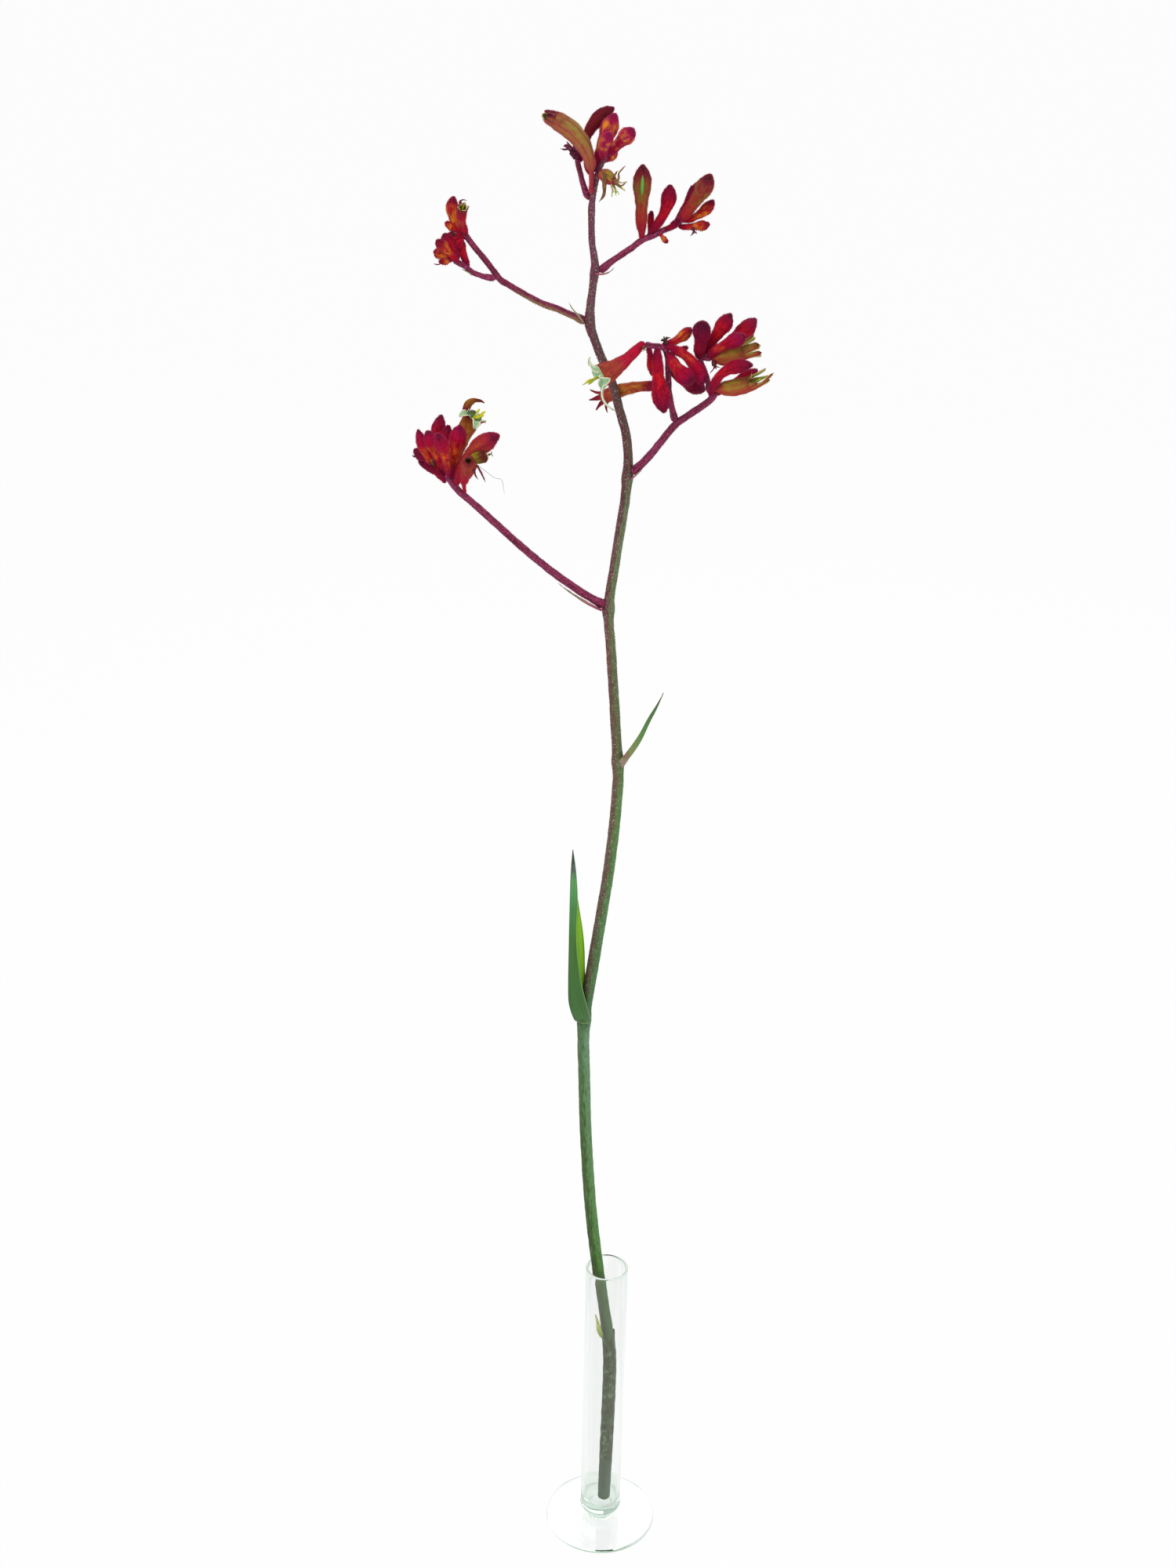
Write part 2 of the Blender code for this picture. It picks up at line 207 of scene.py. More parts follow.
def wool(name, root, tip):
    """Plant wool: short stiff hairs, each paler towards its tip, in tufts 2 mm across."""
    skin, tree, shader = start_material(name, 0.6, 0.12)
    _, grain, rib = surface_places(tree)
    tufts, _ = fleck(tree, root, tip, grain, 2.0, 0.35, 0.75, 0.6)
    paint(tree, shader, lay(tree, tufts, tip, rib, 0, 1.5))
    return skin


def stem_skin():
    """Living stem: green on the side the sun missed, blushed maroon on the side it reached
    and higher up.

    Both colours run in streaks 0.8 mm wide and centimetres long, with dark lines between
    them, pale scars where bristles fell, and pink wool bases towards the crown. Inside the
    vase both colours are painted darker, as painted shade, and from the vase's rim up to
    the leaf collar the green side is paler, a painted highlight.
    """
    skin, tree, shader = start_material("stem_skin", 0.5, 0.22)
    _, grain, _ = surface_places(tree)
    place = add(tree, "TexCoord").outputs["Object"]
    height = add(tree, "SeparateXYZ", {0: place}).outputs["Z"]
    share = add(tree, "MapRange", {"Value": height, "From Max": 0.8})
    share = uneven(tree, share.outputs[0], grain, 6.0, 0.008)
    # Up to 0.222, inside the vase, both sides are painted darker: painted shade.
    blushed_side = add(tree, "ValToRGB", {0: share}, {
        0: "#48604A", 0.05: "#43523A", 0.12: "#3C4428", 0.18: "#44502E", 0.222: "#48582E",
        0.23: "#3F5C2C", 0.33: "#45632F", 0.36: "#4C6E3A", 0.415: "#56784A", 0.43: "#46633A",
        0.46: "#5C4B3E", 0.56: "#6E5248", 0.64: "#6C4E40", 0.7: "#6E4A42", 0.76: "#6A4244",
        0.82: "#5A2F33", 0.89: "#62343C", 0.94: "#6E3044", 1: "#702446"})
    # From 0.23 to 0.415 the green side is paler than the blushed one: a painted highlight.
    green_side_and_painted_highlight = add(tree, "ValToRGB", {0: share}, {
        0: "#4A684E", 0.09: "#445840", 0.15: "#4A623E", 0.222: "#4A6E38", 0.23: "#5C9044",
        0.33: "#68945E", 0.415: "#74A07A", 0.43: "#4C7A48", 0.5: "#4E8A48", 0.6: "#5E8A48",
        0.64: "#5E7444", 0.7: "#647A4A", 0.78: "#6A8456", 0.83: "#5E5040", 0.89: "#5C4C48",
        0.94: "#6C4656", 1: "#6E3A4C"})
    normal = add(tree, "NewGeometry").outputs["Normal"]
    facing = add(tree, "SeparateXYZ", {0: normal}).outputs["X"]
    streaks = add(tree, "Mapping", {"Vector": grain, "Scale": (1, 1, 0.14)})
    colour = lay(tree, blushed_side, green_side_and_painted_highlight, uneven(tree, facing, streaks, 0.9, 0.75), -0.5, 0.5)
    colour, lines = fleck(tree, colour, "#36301E", grain, 0.5, 0.50, 0.78, 0.6, 8.0)
    colour, _ = fleck(tree, colour, "#2E2A1A", grain, 1.4, 0.50, 0.72, 0.5, 2.0)
    for tone, size, low, high, most, first, full in (
            ("#B9BDA4", 0.7, 0.58, 0.66, 0.7, 0.34, 0.40),
            ("#A05070", 0.9, 0.54, 0.68, 0.75, 0.46, 0.70)):
        above = add(tree, "MapRange", {"Value": height, "From Min": first, "From Max": full})
        colour, _ = fleck(tree, colour, tone, grain, size, low, high, most, 1.3, above)
    paint(tree, shader, colour, lines)
    return skin


def branch_skin(name, pale, dark, wool_colour, under=None):
    """Flowering branch: purple-brown skin under pink wool, streaked along its length.

    under is the colour of its lower side, where the sun didn't redden it.
    """
    skin, tree, shader = start_material(name, 0.6, 0.15, Sheen_Weight=0.08,
                                        Sheen_Tint=wool_colour)
    along, grain, _ = surface_places(tree)
    colour, _ = fleck(tree, pale, dark, grain, 1.2, 0.38, 0.62, 1.0, 10.0)
    if under:
        colour = change_under(tree, colour, under, grain, along, 0.4, 0.5, -0.5)
    colour, tufts = fleck(tree, colour, wool_colour, grain, 0.8, 0.50, 0.66, 0.85, 1.5)
    colour, _ = fleck(tree, colour, "#3E1224", grain, 0.9, 0.58, 0.72, 0.7, 2.0)
    paint(tree, shader, colour, tufts, 0.4, 0.7)
    return skin


def leaf_skin(name, stops, vein, roughness=0.42, margin=None):
    """Strap leaf: a waxy blade with parallel veins 0.7 mm apart, and its thin pale margin."""
    skin, tree, shader = start_material(name, roughness, 0.3)
    along, grain, rib = surface_places(tree)
    colour = add(tree, "ValToRGB", {0: uneven(tree, along, grain, 6.0, 0.04)}, stops)
    flat = add(tree, "Mapping", {"Vector": grain, "Scale": (1, 0.1, 1)})
    colour, veins = fleck(tree, colour, vein, flat, 0.7, 0.45, 0.75, 0.65, 40.0)
    if margin:
        colour = lay(tree, colour, margin, rib, 0.94, 1.0)
    paint(tree, shader, colour, veins)
    return skin


def waxy(name, middle, edge, roughness=0.4):
    """The bare inside of a petal: pale, smooth and waxy, whiter along its edge."""
    skin, tree, shader = start_material(name, roughness, 0.3)
    _, grain, rib = surface_places(tree)
    colour, cells = fleck(tree, middle, edge, grain, 0.8, 0.40, 0.80, 0.5, 5.0)
    paint(tree, shader, lay(tree, colour, edge, rib, 0.66, 0.92), cells, 0.15)
    return skin


def dried(name, pale, dark, fleck_colour=None):
    """Withered tissue: thin, papery and wrinkled, streaked and mottled at a millimetre."""
    skin, tree, shader = start_material(name, 0.7, 0.3)
    _, grain, _ = surface_places(tree)
    colour, wrinkles = fleck(tree, pale, dark, grain, 1.0, 0.38, 0.62, 1.0, 3.0)
    if fleck_colour:
        colour, _ = fleck(tree, colour, fleck_colour, grain, 3.0, 0.52, 0.66, 0.8, 1.4)
        colour, _ = fleck(tree, colour, "#3C3420", grain, 0.7, 0.56, 0.70, 0.8, 4.0)
    paint(tree, shader, colour, wrinkles, 0.4, 0.7)
    return skin


def clear_glass():
    """Blown clear glass: fire-polished and colourless, faintly green where it is thick.

    Its index is a little under soda glass's, for the light, thin look of this small vase.
    """
    skin, tree, shader = start_material("clear_glass", 0.0, Transmission_Weight=1.0, IOR=1.42,
                                        Base_Color="#FFFFFF")
    output = tree.nodes["Material Output"]
    tint = add(tree, "VolumeAbsorption", {"Color": "#86B89C", "Density": 26.0})
    tree.links.new(tint.outputs[0], output.inputs["Volume"])
    # Lamps shine through it with little loss. Light that has been led along inside a wall
    # leaves it again after three turns, which keeps the walls' edges thin and pale.
    path = add(tree, "LightPath")
    led = add(tree, "Math", {0: path.outputs["Ray Depth"], 1: 3.5}, operation="GREATER_THAN")
    clear = add(tree, "Math", {0: path.outputs["Is Shadow Ray"], 1: led}, operation="MAXIMUM")
    see_through = add(tree, "BsdfTransparent", {"Color": "#FBFDFB"})
    mixed = add(tree, "MixShader", {0: clear, 1: shader, 2: see_through})
    tree.links.new(mixed.outputs[0], output.inputs["Surface"])
    return skin


# ---- reading the CAD frame

def cad_rings(node):
    """A CAD rod's rings in order, each a list of its eight corners in millimetres."""
    shape = bmesh.new()
    shape.from_mesh(NODES[node].data)
    bmesh.ops.remove_doubles(shape, verts=shape.verts, dist=1e-6)
    bmesh.ops.scale(shape, vec=(1 / MM,) * 3, verts=shape.verts)
    seen = set()
    end = None
    for face in shape.faces:
        if face in seen or end:
            continue
        seen.add(face)
        flat = [face]
        for member in flat:
            for edge in member.edges:
                if len(edge.link_faces) == 2 and edge.calc_face_angle() < 0.01:
                    fresh = [other for other in edge.link_faces if other not in seen]
                    seen.update(fresh)
                    flat += fresh
        corners = list(dict.fromkeys(corner for member in flat for corner in member.verts))
        centre = sum((corner.co for corner in corners), Vector()) / len(corners)
        reaches = [(corner.co - centre).length for corner in corners]
        if len(corners) == 8 and max(reaches) < 1.1 * min(reaches):
            end = corners
    rings = []
    reached = set(end)
    while end:
        rings.append([corner.co.copy() for corner in end])
        around = [edge.other_vert(corner) for corner in end for edge in corner.link_edges]
        end = [corner for corner in dict.fromkeys(around) if corner not in reached]
        reached.update(end)
    shape.free()
    return rings


def cad_line(node):
    """A CAD rod's middle line and its radius at each point."""
    rings = cad_rings(node)
    line = [sum(ring, Vector()) / len(ring) for ring in rings]
    radii = [sum((corner - centre).length for corner in ring) / len(ring)
             for ring, centre in zip(rings, line)]
    return line, radii


def rank(name):
    """Stem, branch, twig or what they bear: a piece grows only from a lower rank."""
    kinds = ("main_stem", "branch", "twig")
    return next((place for place, kind in enumerate(kinds) if name.endswith(kind)), 3)


def nearness(point, name, lines):
    """How close a point is to the surface of anything that this piece may grow from."""
    return min((point - centre).length - radius
               for parent, (line, radii) in lines.items() if rank(parent) < rank(name)
               for centre, radius in zip(line, radii))


def from_its_base(name, line, radii, lines):
    """The line and radii again, starting at the end that grows from a branch."""
    if nearness(line[-1], name, lines) < nearness(line[0], name, lines):
        return line[::-1], radii[::-1]
    return line, radii


# ---- lines

def lengths(line):
    """How far along the line each of its points lies."""
    run = [0.0]
    for start, end in zip(line, line[1:]):
        run.append(run[-1] + (end - start).length)
    return run


def evenly(line, values, step):
    """A line's points and values again, smooth and about a step apart."""
    knots = [2 * line[0] - line[1]] + list(line) + [2 * line[-1] - line[-2]]
    fine, fine_values = [], []
    for index, (before, start, end, after) in enumerate(
            zip(knots, knots[1:], knots[2:], knots[3:])):
        for part in range(8):
            t = part / 8
            fine.append(0.5 * (2 * start + (end - before) * t
                               + (2 * before - 5 * start + 4 * end - after) * t ** 2
                               + (3 * start - before - 3 * end + after) * t ** 3))
            fine_values.append(values[index] + (values[index + 1] - values[index]) * t)
    fine.append(knots[-2])
    fine_values.append(values[-1])
    run = lengths(fine)
    count = max(3, round(run[-1] / step))
    points, read = [], []
    place = 0
    for index in range(count + 1):
        goal = run[-1] * index / count
        while place < len(run) - 2 and run[place + 1] < goal:
            place += 1
        t = (goal - run[place]) / max(1e-9, run[place + 1] - run[place])
        points.append(fine[place].lerp(fine[place + 1], t))
        read.append(fine_values[place] + (fine_values[place + 1] - fine_values[place]) * t)
    return points, read


def smooth(points, step):
    """A smooth line through points, in steps of about the length given."""
    return evenly([Vector(point) for point in points], [0.0] * len(points), step)[0]


def read_off(steps, place):
    """The value at a place in a list of (place, value) steps, eased between them."""
    for (low, first), (high, last) in zip(steps, steps[1:]):
        if place <= high:
            t = max(0.0, (place - low) / (high - low))
            return first + (last - first) * t * t * (3 - 2 * t)
    return steps[-1][1]


def swelling(line, most, shares):
    """A radius for each point of a line: a share of the greatest, by how far along it is."""
    run = lengths(line)
    return [most * read_off(shares, along / run[-1]) for along in run]


def frames_along(line, radii, flat=1.0, turn=0.0):
    """A frame at each point: z runs ahead without twist, x and y are the radius long."""
    frames = []
    facing = None
    for index, (point, radius) in enumerate(zip(line, radii)):
        ahead = (line[min(index + 1, len(line) - 1)] - line[max(index - 1, 0)]).normalized()
        if facing is None:
            facing = ahead.to_track_quat("Z", "Y") @ Quaternion((0, 0, 1), turn)
        else:
            facing = (facing @ Vector((0, 0, 1))).rotation_difference(ahead) @ facing
        frames.append(Matrix.LocRotScale(point, facing, (radius, radius * flat, 1)))
    return frames


# ---- shapes

# where a piece keeps each finish, after the one on its outside
WOOL, LINING, ANTHER, FILAMENT, CLAW = range(1, 6)

HAIR_CORNERS = 1200  # hairs are gathered to about so many corners, then poured


def new_shape():
    shape = bmesh.new()
    shape.verts.layers.float.new("along")
    shape.verts.layers.float.new("rib")
    shape.verts.layers.float_vector.new("grain")
    return shape


def mark(shape, corner, along, grain, rib):
    """Writes on a corner where it lies on its piece, for the materials to read."""
    layers = shape.verts.layers
    corner[layers.float["along"]] = along
    corner[layers.float_vector["grain"]] = grain
    corner[layers.float["rib"]] = rib


def extend(shape, edges):
    """Draws a row of edges out. Returns the new corners, edges and faces."""
    made = bmesh.ops.extrude_edge_only(shape, edges=edges)["geom"]
    corners = [item for item in made if isinstance(item, bmesh.types.BMVert)]
    fresh = set(corners)
    return (corners, [item for item in made if isinstance(item, bmesh.types.BMEdge)
                      and fresh.issuperset(item.verts)],
            [item for item in made if isinstance(item, bmesh.types.BMFace)])


def draw_out(shape, line, radii, sides, ribs=6, depth=0.0, shift=0.0, flat=1.0, turn=0.0,
             spans=(0.0, 1.0), closed=(True, True)):
    """A ribbed tube drawn along a line, ring by ring. Returns its rings of corners."""
    frames = frames_along(line, radii, flat, turn)
    run = lengths(line)
    ring = bmesh.ops.create_circle(shape, cap_ends=False, segments=sides, radius=1.0,
                                   matrix=frames[0])["verts"]
    back = frames[0].inverted()
    for corner in ring:
        local = back @ corner.co
        swell = 1 + depth * cos(ribs * atan2(local.y, local.x))
        corner.co = frames[0] @ Vector((local.x * swell, local.y * swell, local.z))
    edges = list(dict.fromkeys(edge for corner in ring for edge in corner.link_edges))
    rings = []
    for index, (frame_here, radius) in enumerate(zip(frames, radii)):
        if index:
            ring, edges, _ = extend(shape, edges)
            bmesh.ops.transform(shape, matrix=frame_here @ frames[index - 1].inverted(),
                                verts=ring)
        back = frame_here.inverted()
        along = spans[0] + (spans[1] - spans[0]) * run[index] / run[-1]
        for corner in ring:
            local = back @ corner.co
            mark(shape, corner, along, (local.x * radius, local.y * radius, run[index] + shift),
                 cos(ribs * atan2(local.y, local.x)))
        rings.append(ring)
    for end in (-1, 0):
        if closed[end]:
            centre = sum((corner.co for corner in rings[end]), Vector()) / sides
            bmesh.ops.pointmerge(shape, verts=rings[end], merge_co=centre)
    return rings


def roughen(shape, size, amount, shift):
    """Pushes corners in and out a little, in lumps of about the size given."""
    shape.normal_update()
    for corner in shape.verts:
        lump = noise.noise(corner.co / size + Vector((shift, 0, 0)))
        corner.co += corner.normal * (lump * amount)


def face_out(shape, line=None):
    """Turns the faces outwards; on a tube that is open, that is away from its line."""
    bmesh.ops.recalc_face_normals(shape, faces=shape.faces)
    if line is None:
        return
    middle = line[len(line) // 3]
    near = sorted(shape.faces, key=lambda face: (face.calc_center_median() - middle).length)
    away = sum(face.normal.dot(face.calc_center_median() - middle) for face in near[:30])
    if away < 0:
        bmesh.ops.reverse_faces(shape, faces=shape.faces)


def drawn(line, radii, sides, dice=None, lumps=(), shift=None, **form):
    """A closed tube along a line, its surface uneven in lumps of each (size, amount)."""
    if shift is None:
        shift = dice.uniform(0, 500) if dice else 0.0
    shape = new_shape()
    draw_out(shape, line, radii, sides, shift=shift, **form)
    face_out(shape)
    for size, amount in lumps:
        roughen(shape, size, amount, dice.uniform(0, 50))
    return shape


def grow_hairs(shape, length, thick, chance, dice, lean=0.35, patchy=None):
    """Stands a slender three-sided hair on each bare outer face, or on a share of them."""
    layers = shape.verts.layers
    shape.normal_update()
    roots = []
    for face in [face for face in shape.faces if face.material_index == 0]:
        wanted = chance if patchy is None else chance * patchy(face)
        while wanted > 0 and dice.random() < wanted:
            weights = [dice.random() ** 1.2 for _ in face.verts]
            spot = sum((corner.co * weight for corner, weight in zip(face.verts, weights)),
                       Vector()) / sum(weights)
            first = face.verts[0]
            roots.append((spot, face.normal.copy(), first[layers.float["along"]],
                          first[layers.float_vector["grain"]].copy()))
            wanted -= 1
    hairs = new_shape()
    for spot, up, along, grain in roots:
        tilt = Vector((dice.gauss(0, 1), dice.gauss(0, 1), dice.gauss(0, 1))) * lean
        up = (up + tilt).normalized()
        long = length * dice.uniform(0.6, 1.25)
        facing = up.to_track_quat("Z", "Y") @ Quaternion((0, 0, 1), dice.uniform(0, 2))
        frame_here = Matrix.LocRotScale(spot + up * (long * 0.42), facing, None)
        made = bmesh.ops.create_cone(hairs, cap_ends=True, segments=3, radius1=thick / 2,
                                     radius2=0.0, depth=long, matrix=frame_here)["verts"]
        for corner in made:
            tip = (corner.co - spot).dot(up) > long * 0.5
            mark(hairs, corner, along, grain, 1.0 if tip else 0.0)
        if len(hairs.verts) > HAIR_CORNERS:
            pour(hairs, shape, WOOL)
            hairs = new_shape()
    pour(hairs, shape, WOOL)


def as_mesh(shape, name):
    data = bpy.data.meshes.new(name)
    shape.to_mesh(data)
    return data


def pour(small, big, skin):
    """Moves what one shape holds into another, in one of that shape's finishes."""
    for face in small.faces:
        face.material_index = skin
    data = as_mesh(small, "pour")
    big.from_mesh(data)
    bpy.data.meshes.remove(data)
    small.free()


def give_wall(shape, wall, lining):
    """Gives a thin shell its wall, inwards, with the lining's finish on the inside."""
    data = as_mesh(shape, "shell")
    shell = put("shell", data)
    for _ in range(lining + 1):
        data.materials.append(None)
    thicken = shell.modifiers.new("wall", "SOLIDIFY")
    thicken.thickness = wall
    thicken.offset = -1
    thicken.use_even_offset = False
    thicken.material_offset = lining
    thicken.material_offset_rim = lining
    made = bpy.data.meshes.new_from_object(
        shell.evaluated_get(bpy.context.evaluated_depsgraph_get()))
    shape.clear()
    shape.from_mesh(made)
    bpy.data.objects.remove(shell)
    bpy.data.meshes.remove(data)
    bpy.data.meshes.remove(made)


def finish_piece(shape, name, skins, nodes=()):
    """The shape as a piece of the object, in metres, standing for the nodes given."""
    bmesh.ops.scale(shape, vec=(MM,) * 3, verts=shape.verts)
    for face in shape.faces:
        face.smooth = True
    data = as_mesh(shape, name)
    shape.free()
    for skin in skins:
        data.materials.append(skin)
    piece = put(name, data)
    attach(piece, "root")
    if nodes:
        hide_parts(*nodes)


# ---- vase

def round_corner(radius, height, size, first, last, steps=6):
    """Points on a round corner about (radius, height), from one angle to another."""
    turns = [radians(first + (last - first) * step / steps) for step in range(steps + 1)]
    return [(radius + size * cos(turn), height + size * sin(turn)) for turn in turns]


def make_vase(glass):
    """Foot and tube are one body of glass, turned from its outline."""
    foot_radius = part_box("vase_foot")[1].x / MM
    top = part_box("vase_foot")[1].z / MM
    rim_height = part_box("vase_tube")[1].z / MM
    tube, wall = 11.8, 1.2
    bore = tube - wall
    outline = [(0, 0.5), (6, 0.35), (24, 0.05), (foot_radius - 2.2, 0)]
    outline += round_corner(foot_radius - 1.1, 1.15, 1.1, -80, 0)
    outline += round_corner(foot_radius - 1.1, top - 1.1, 1.1, 0, 88)
    outline += [(radius, top + rise) for radius, rise in (
        (26, 0.02), (18, 0.05), (11, 0.15), (8.6, 0.5), (7.8, 1.2), (7.9, 2.2), (9.0, 3.9),
        (10.6, 5.7), (11.5, 7.2), (11.95, 8.3), (12.05, 9.2), (11.9, 10.2), (tube, 11.8),
        (tube, 15))]
    outline += [(tube, 60), (tube, 120)]
    outline += round_corner(tube - wall / 2, rim_height - 0.75, 0.75, 0, 180, 8)
    outline += [(bore, 178), (bore, 120), (bore, 60), (bore, 19), (bore - 0.3, 16.6),
                (bore - 1.6, 14.3), (bore - 4.2, 12.9), (3, 12.3), (0, 12.2)]
    shape = new_shape()
    corners = [shape.verts.new((radius, 0, height)) for radius, height in outline]
    edges = [shape.edges.new(pair) for pair in zip(corners, corners[1:])]
    bmesh.ops.spin(shape, geom=corners + edges, cent=(0, 0, 0), axis=(0, 0, 1),
                   dvec=(0, 0, 0), angle=2 * pi, steps=128, use_merge=True)
    bmesh.ops.remove_doubles(shape, verts=shape.verts, dist=1e-4)
    face_out(shape)
    finish_piece(shape, "glass_vase", [glass], ("vase_tube", "vase_foot"))


# ---- stems

# height: (how much thicker the stem is there, over how many millimetres)
JOINTS = ((341, 0.20, 5), (497, 0.22, 4), (578, 0.30, 4), (645, 0.28, 4),
          (719, 0.30, 4), (741, 0.26, 3.5), (769, 0.18, 3))


def bristly(face):
    """Share of the stem's bristles at a face: none low down, most at the crown."""
    return read_off(((0, 0), (300, 0), (330, 0.25), (460, 0.45), (560, 0.9), (800, 1.0)),
                    face.calc_center_median().z)


def make_main_stem(lines, skins):
    line, radii = evenly(*lines["main_stem"], 1.5)
    radii = [radius * (1 + sum(more * exp(-((point.z - height) / reach) ** 2)
                               for height, more, reach in JOINTS))
             for point, radius in zip(line, radii)]
    radii[0] *= 0.75
    radii[-1] *= 0.5
    shape = drawn(line, radii, 20, ribs=5, depth=0.035)
    roughen(shape, 5.0, 0.16, 3)
    roughen(shape, 1.4, 0.10, 9)
    grow_hairs(shape, 0.55, 0.19, 1.1, random.Random(7), patchy=bristly)
    finish_piece(shape, "main_stem_skin", skins, ("main_stem",))


def stem_part(lines, step, low, high):
    """The stem's line and radii between two heights."""
    line, radii = evenly(*lines["main_stem"], step)
    part = [pair for pair in zip(line, radii) if low < pair[0].z < high]
    return [point for point, _ in part], [radius for _, radius in part]


def make_sheath(lines, skins):
    """What is left of an old leaf's sheath, round the stem's foot and torn at its top."""
    line, radii = stem_part(lines, 1.0, 44, 134)
    shape = new_shape()
    rings = draw_out(shape, line, [radius + 0.28 for radius in radii], 28, ribs=4,
                     depth=0.03, closed=(False, False))
    for rings_down, ring in enumerate(reversed(rings[-7:])):
        fade = 1 - rings_down / 7
        for corner in ring:
            aside = corner.co - line[-1]
            turn = atan2(aside.y, aside.x)
            tear = 1.8 * sin(2 * turn + 0.6) + 1.1 * sin(5 * turn) + 0.6 * sin(11 * turn)
            corner.co.z += tear * fade
            flare = 0.5 * fade * max(0.0, cos(turn + 0.4))
            corner.co += Vector((cos(turn), sin(turn), 0)) * flare
    face_out(shape, line)
    roughen(shape, 4.0, 0.3, 21)
    give_wall(shape, 0.3, 0)
    finish_piece(shape, "stem_sheath", skins)


def make_collar(name, skins, dice, lines, low, high, proud):
    """The thin ring that a leaf's base leaves round the stem."""
    line, radii = stem_part(lines, 0.4, low, high)
    radii = [radius * 1.16 + proud - proud * 0.8 * (index in (0, len(line) - 1))
             for index, radius in enumerate(radii)]
    shape = drawn(line, radii, 28, dice, ((1.5, 0.15),), shift=0.0, ribs=5, depth=0.03)
    finish_piece(shape, name, skins)


def make_branch(name, lines, skins, dice):
    line, radii = lines[name]
    # It grows out of the middle of what bears it, with a slightly flared foot.
    heart = min((point for parent in RODS if rank(parent) < rank(name)
                 for point in lines[parent][0]), key=lambda point: (point - line[0]).length)
    heart = line[0].lerp(heart, min(0.6, 2.4 / (heart - line[0]).length))
    line, radii = evenly([heart] + line, [radii[0] * 0.8] + radii, 1.2)
    run = lengths(line)
    radii = [radius * (1 + 0.26 * exp(-((along - 3.0) / 2.4) ** 2)
                       + 0.16 * exp(-((run[-1] - along) / 3) ** 2))
             for radius, along in zip(radii, run)]
    radii[-1] *= 0.45
    shape = drawn(line, radii, 16, dice, ((3.0, 0.22),), ribs=4, depth=0.04)
    grow_hairs(shape, 0.6, 0.19, 1.3, dice)
    finish_piece(shape, name + "_skin", skins, (name,))


# ---- buds and flowers

# width along a bud, as shares of its length and of its greatest width
CLUB = ((0, 0.28), (0.07, 0.38), (0.17, 0.6), (0.28, 0.68), (0.4, 0.66), (0.54, 0.8),
        (0.7, 1.08), (0.8, 1.06), (0.89, 0.8), (0.95, 0.45), (1, 0.1))
SMALL_CLUB = ((0, 0.4), (0.25, 0.5), (0.6, 1.0), (0.85, 0.85), (0.97, 0.4), (1, 0.08))
TUBE = ((0, 0.26), (0.07, 0.42), (0.17, 0.72), (0.27, 0.74), (0.38, 0.68), (0.55, 0.8),
        (0.75, 0.96), (0.88, 1.0), (1, 0.96))
STALKED_TUBE = ((0, 0.22), (0.26, 0.24), (0.31, 0.5), (0.36, 0.62), (0.41, 0.6), (0.47, 0.7),
                (0.6, 0.88), (0.8, 1.0), (0.93, 0.96), (1, 0.82))
GLOBE = ((0, 0.3), (0.2, 0.5), (0.45, 0.95), (0.7, 1.0), (0.9, 0.7), (1, 0.5))
WIDENING_TUBE = ((0, 0.3), (0.1, 0.5), (0.25, 0.62), (0.4, 0.66), (0.6, 0.9), (0.85, 1.25),
                 (1, 1.4))
POD = ((0, 0.3), (0.12, 0.6), (0.35, 0.95), (0.6, 1.1), (0.85, 1.05), (1, 1.0))

# width along a petal past the mouth, as shares of its length and of its width there
LEAFY = ((0, 1.0), (0.35, 1.02), (0.62, 0.86), (0.86, 0.48), (1, 0.08))
POINTED = ((0, 1.0), (0.3, 0.8), (0.6, 0.5), (0.85, 0.3), (1, 0.06))
BLUNT = ((0, 1.0), (0.3, 0.86), (0.7, 0.8), (0.88, 0.7), (1, 0.34))

TUBE_SHARE = 0.65  # of a flower's colours, from base to tip, that its tube takes
STALK_ROOT = 1.6  # how far a bud's stalk is carried on into its branch
PETAL_WALL = 0.35
PLUMP, SLENDER = 1.16, 1.05  # how much wider than its CAD rod a bud is drawn


def grown_line(name, lines, bears=None):
    """A bud's line and greatest radius, its stalk carried on into its branch.

    A stalk that runs down beside its stem bends into the stem that bears it.
    """
    line, radii = from_its_base(name, *cad_line(name), lines)
    line = [line[0] + (line[0] - line[1]).normalized() * STALK_ROOT] + line
    if bears:
        heart = min(lines[bears][0], key=lambda point: (point - line[0]).length)
        line = [line[0].lerp(heart, 0.7)] + line
    return smooth(line, 0.85), max(radii)


def make_bud(name, lines, skins):
    """A closed bud: six petals shut in a club on a short stalk."""
    dice = random.Random(name)
    line, widest = grown_line(name, lines)
    radii = swelling(line, widest * (PLUMP if name.startswith("lower_left") else SLENDER), CLUB)
    shape = drawn(line, radii, 24, dice, ((3.2, 0.28), (0.9, 0.10)), depth=0.03,
                  shift=dice.uniform(0, 500), turn=dice.uniform(0, 1))
    grow_hairs(shape, 0.62, 0.21, 2.0, dice)
    finish_piece(shape, name + "_skin", skins, (name,))


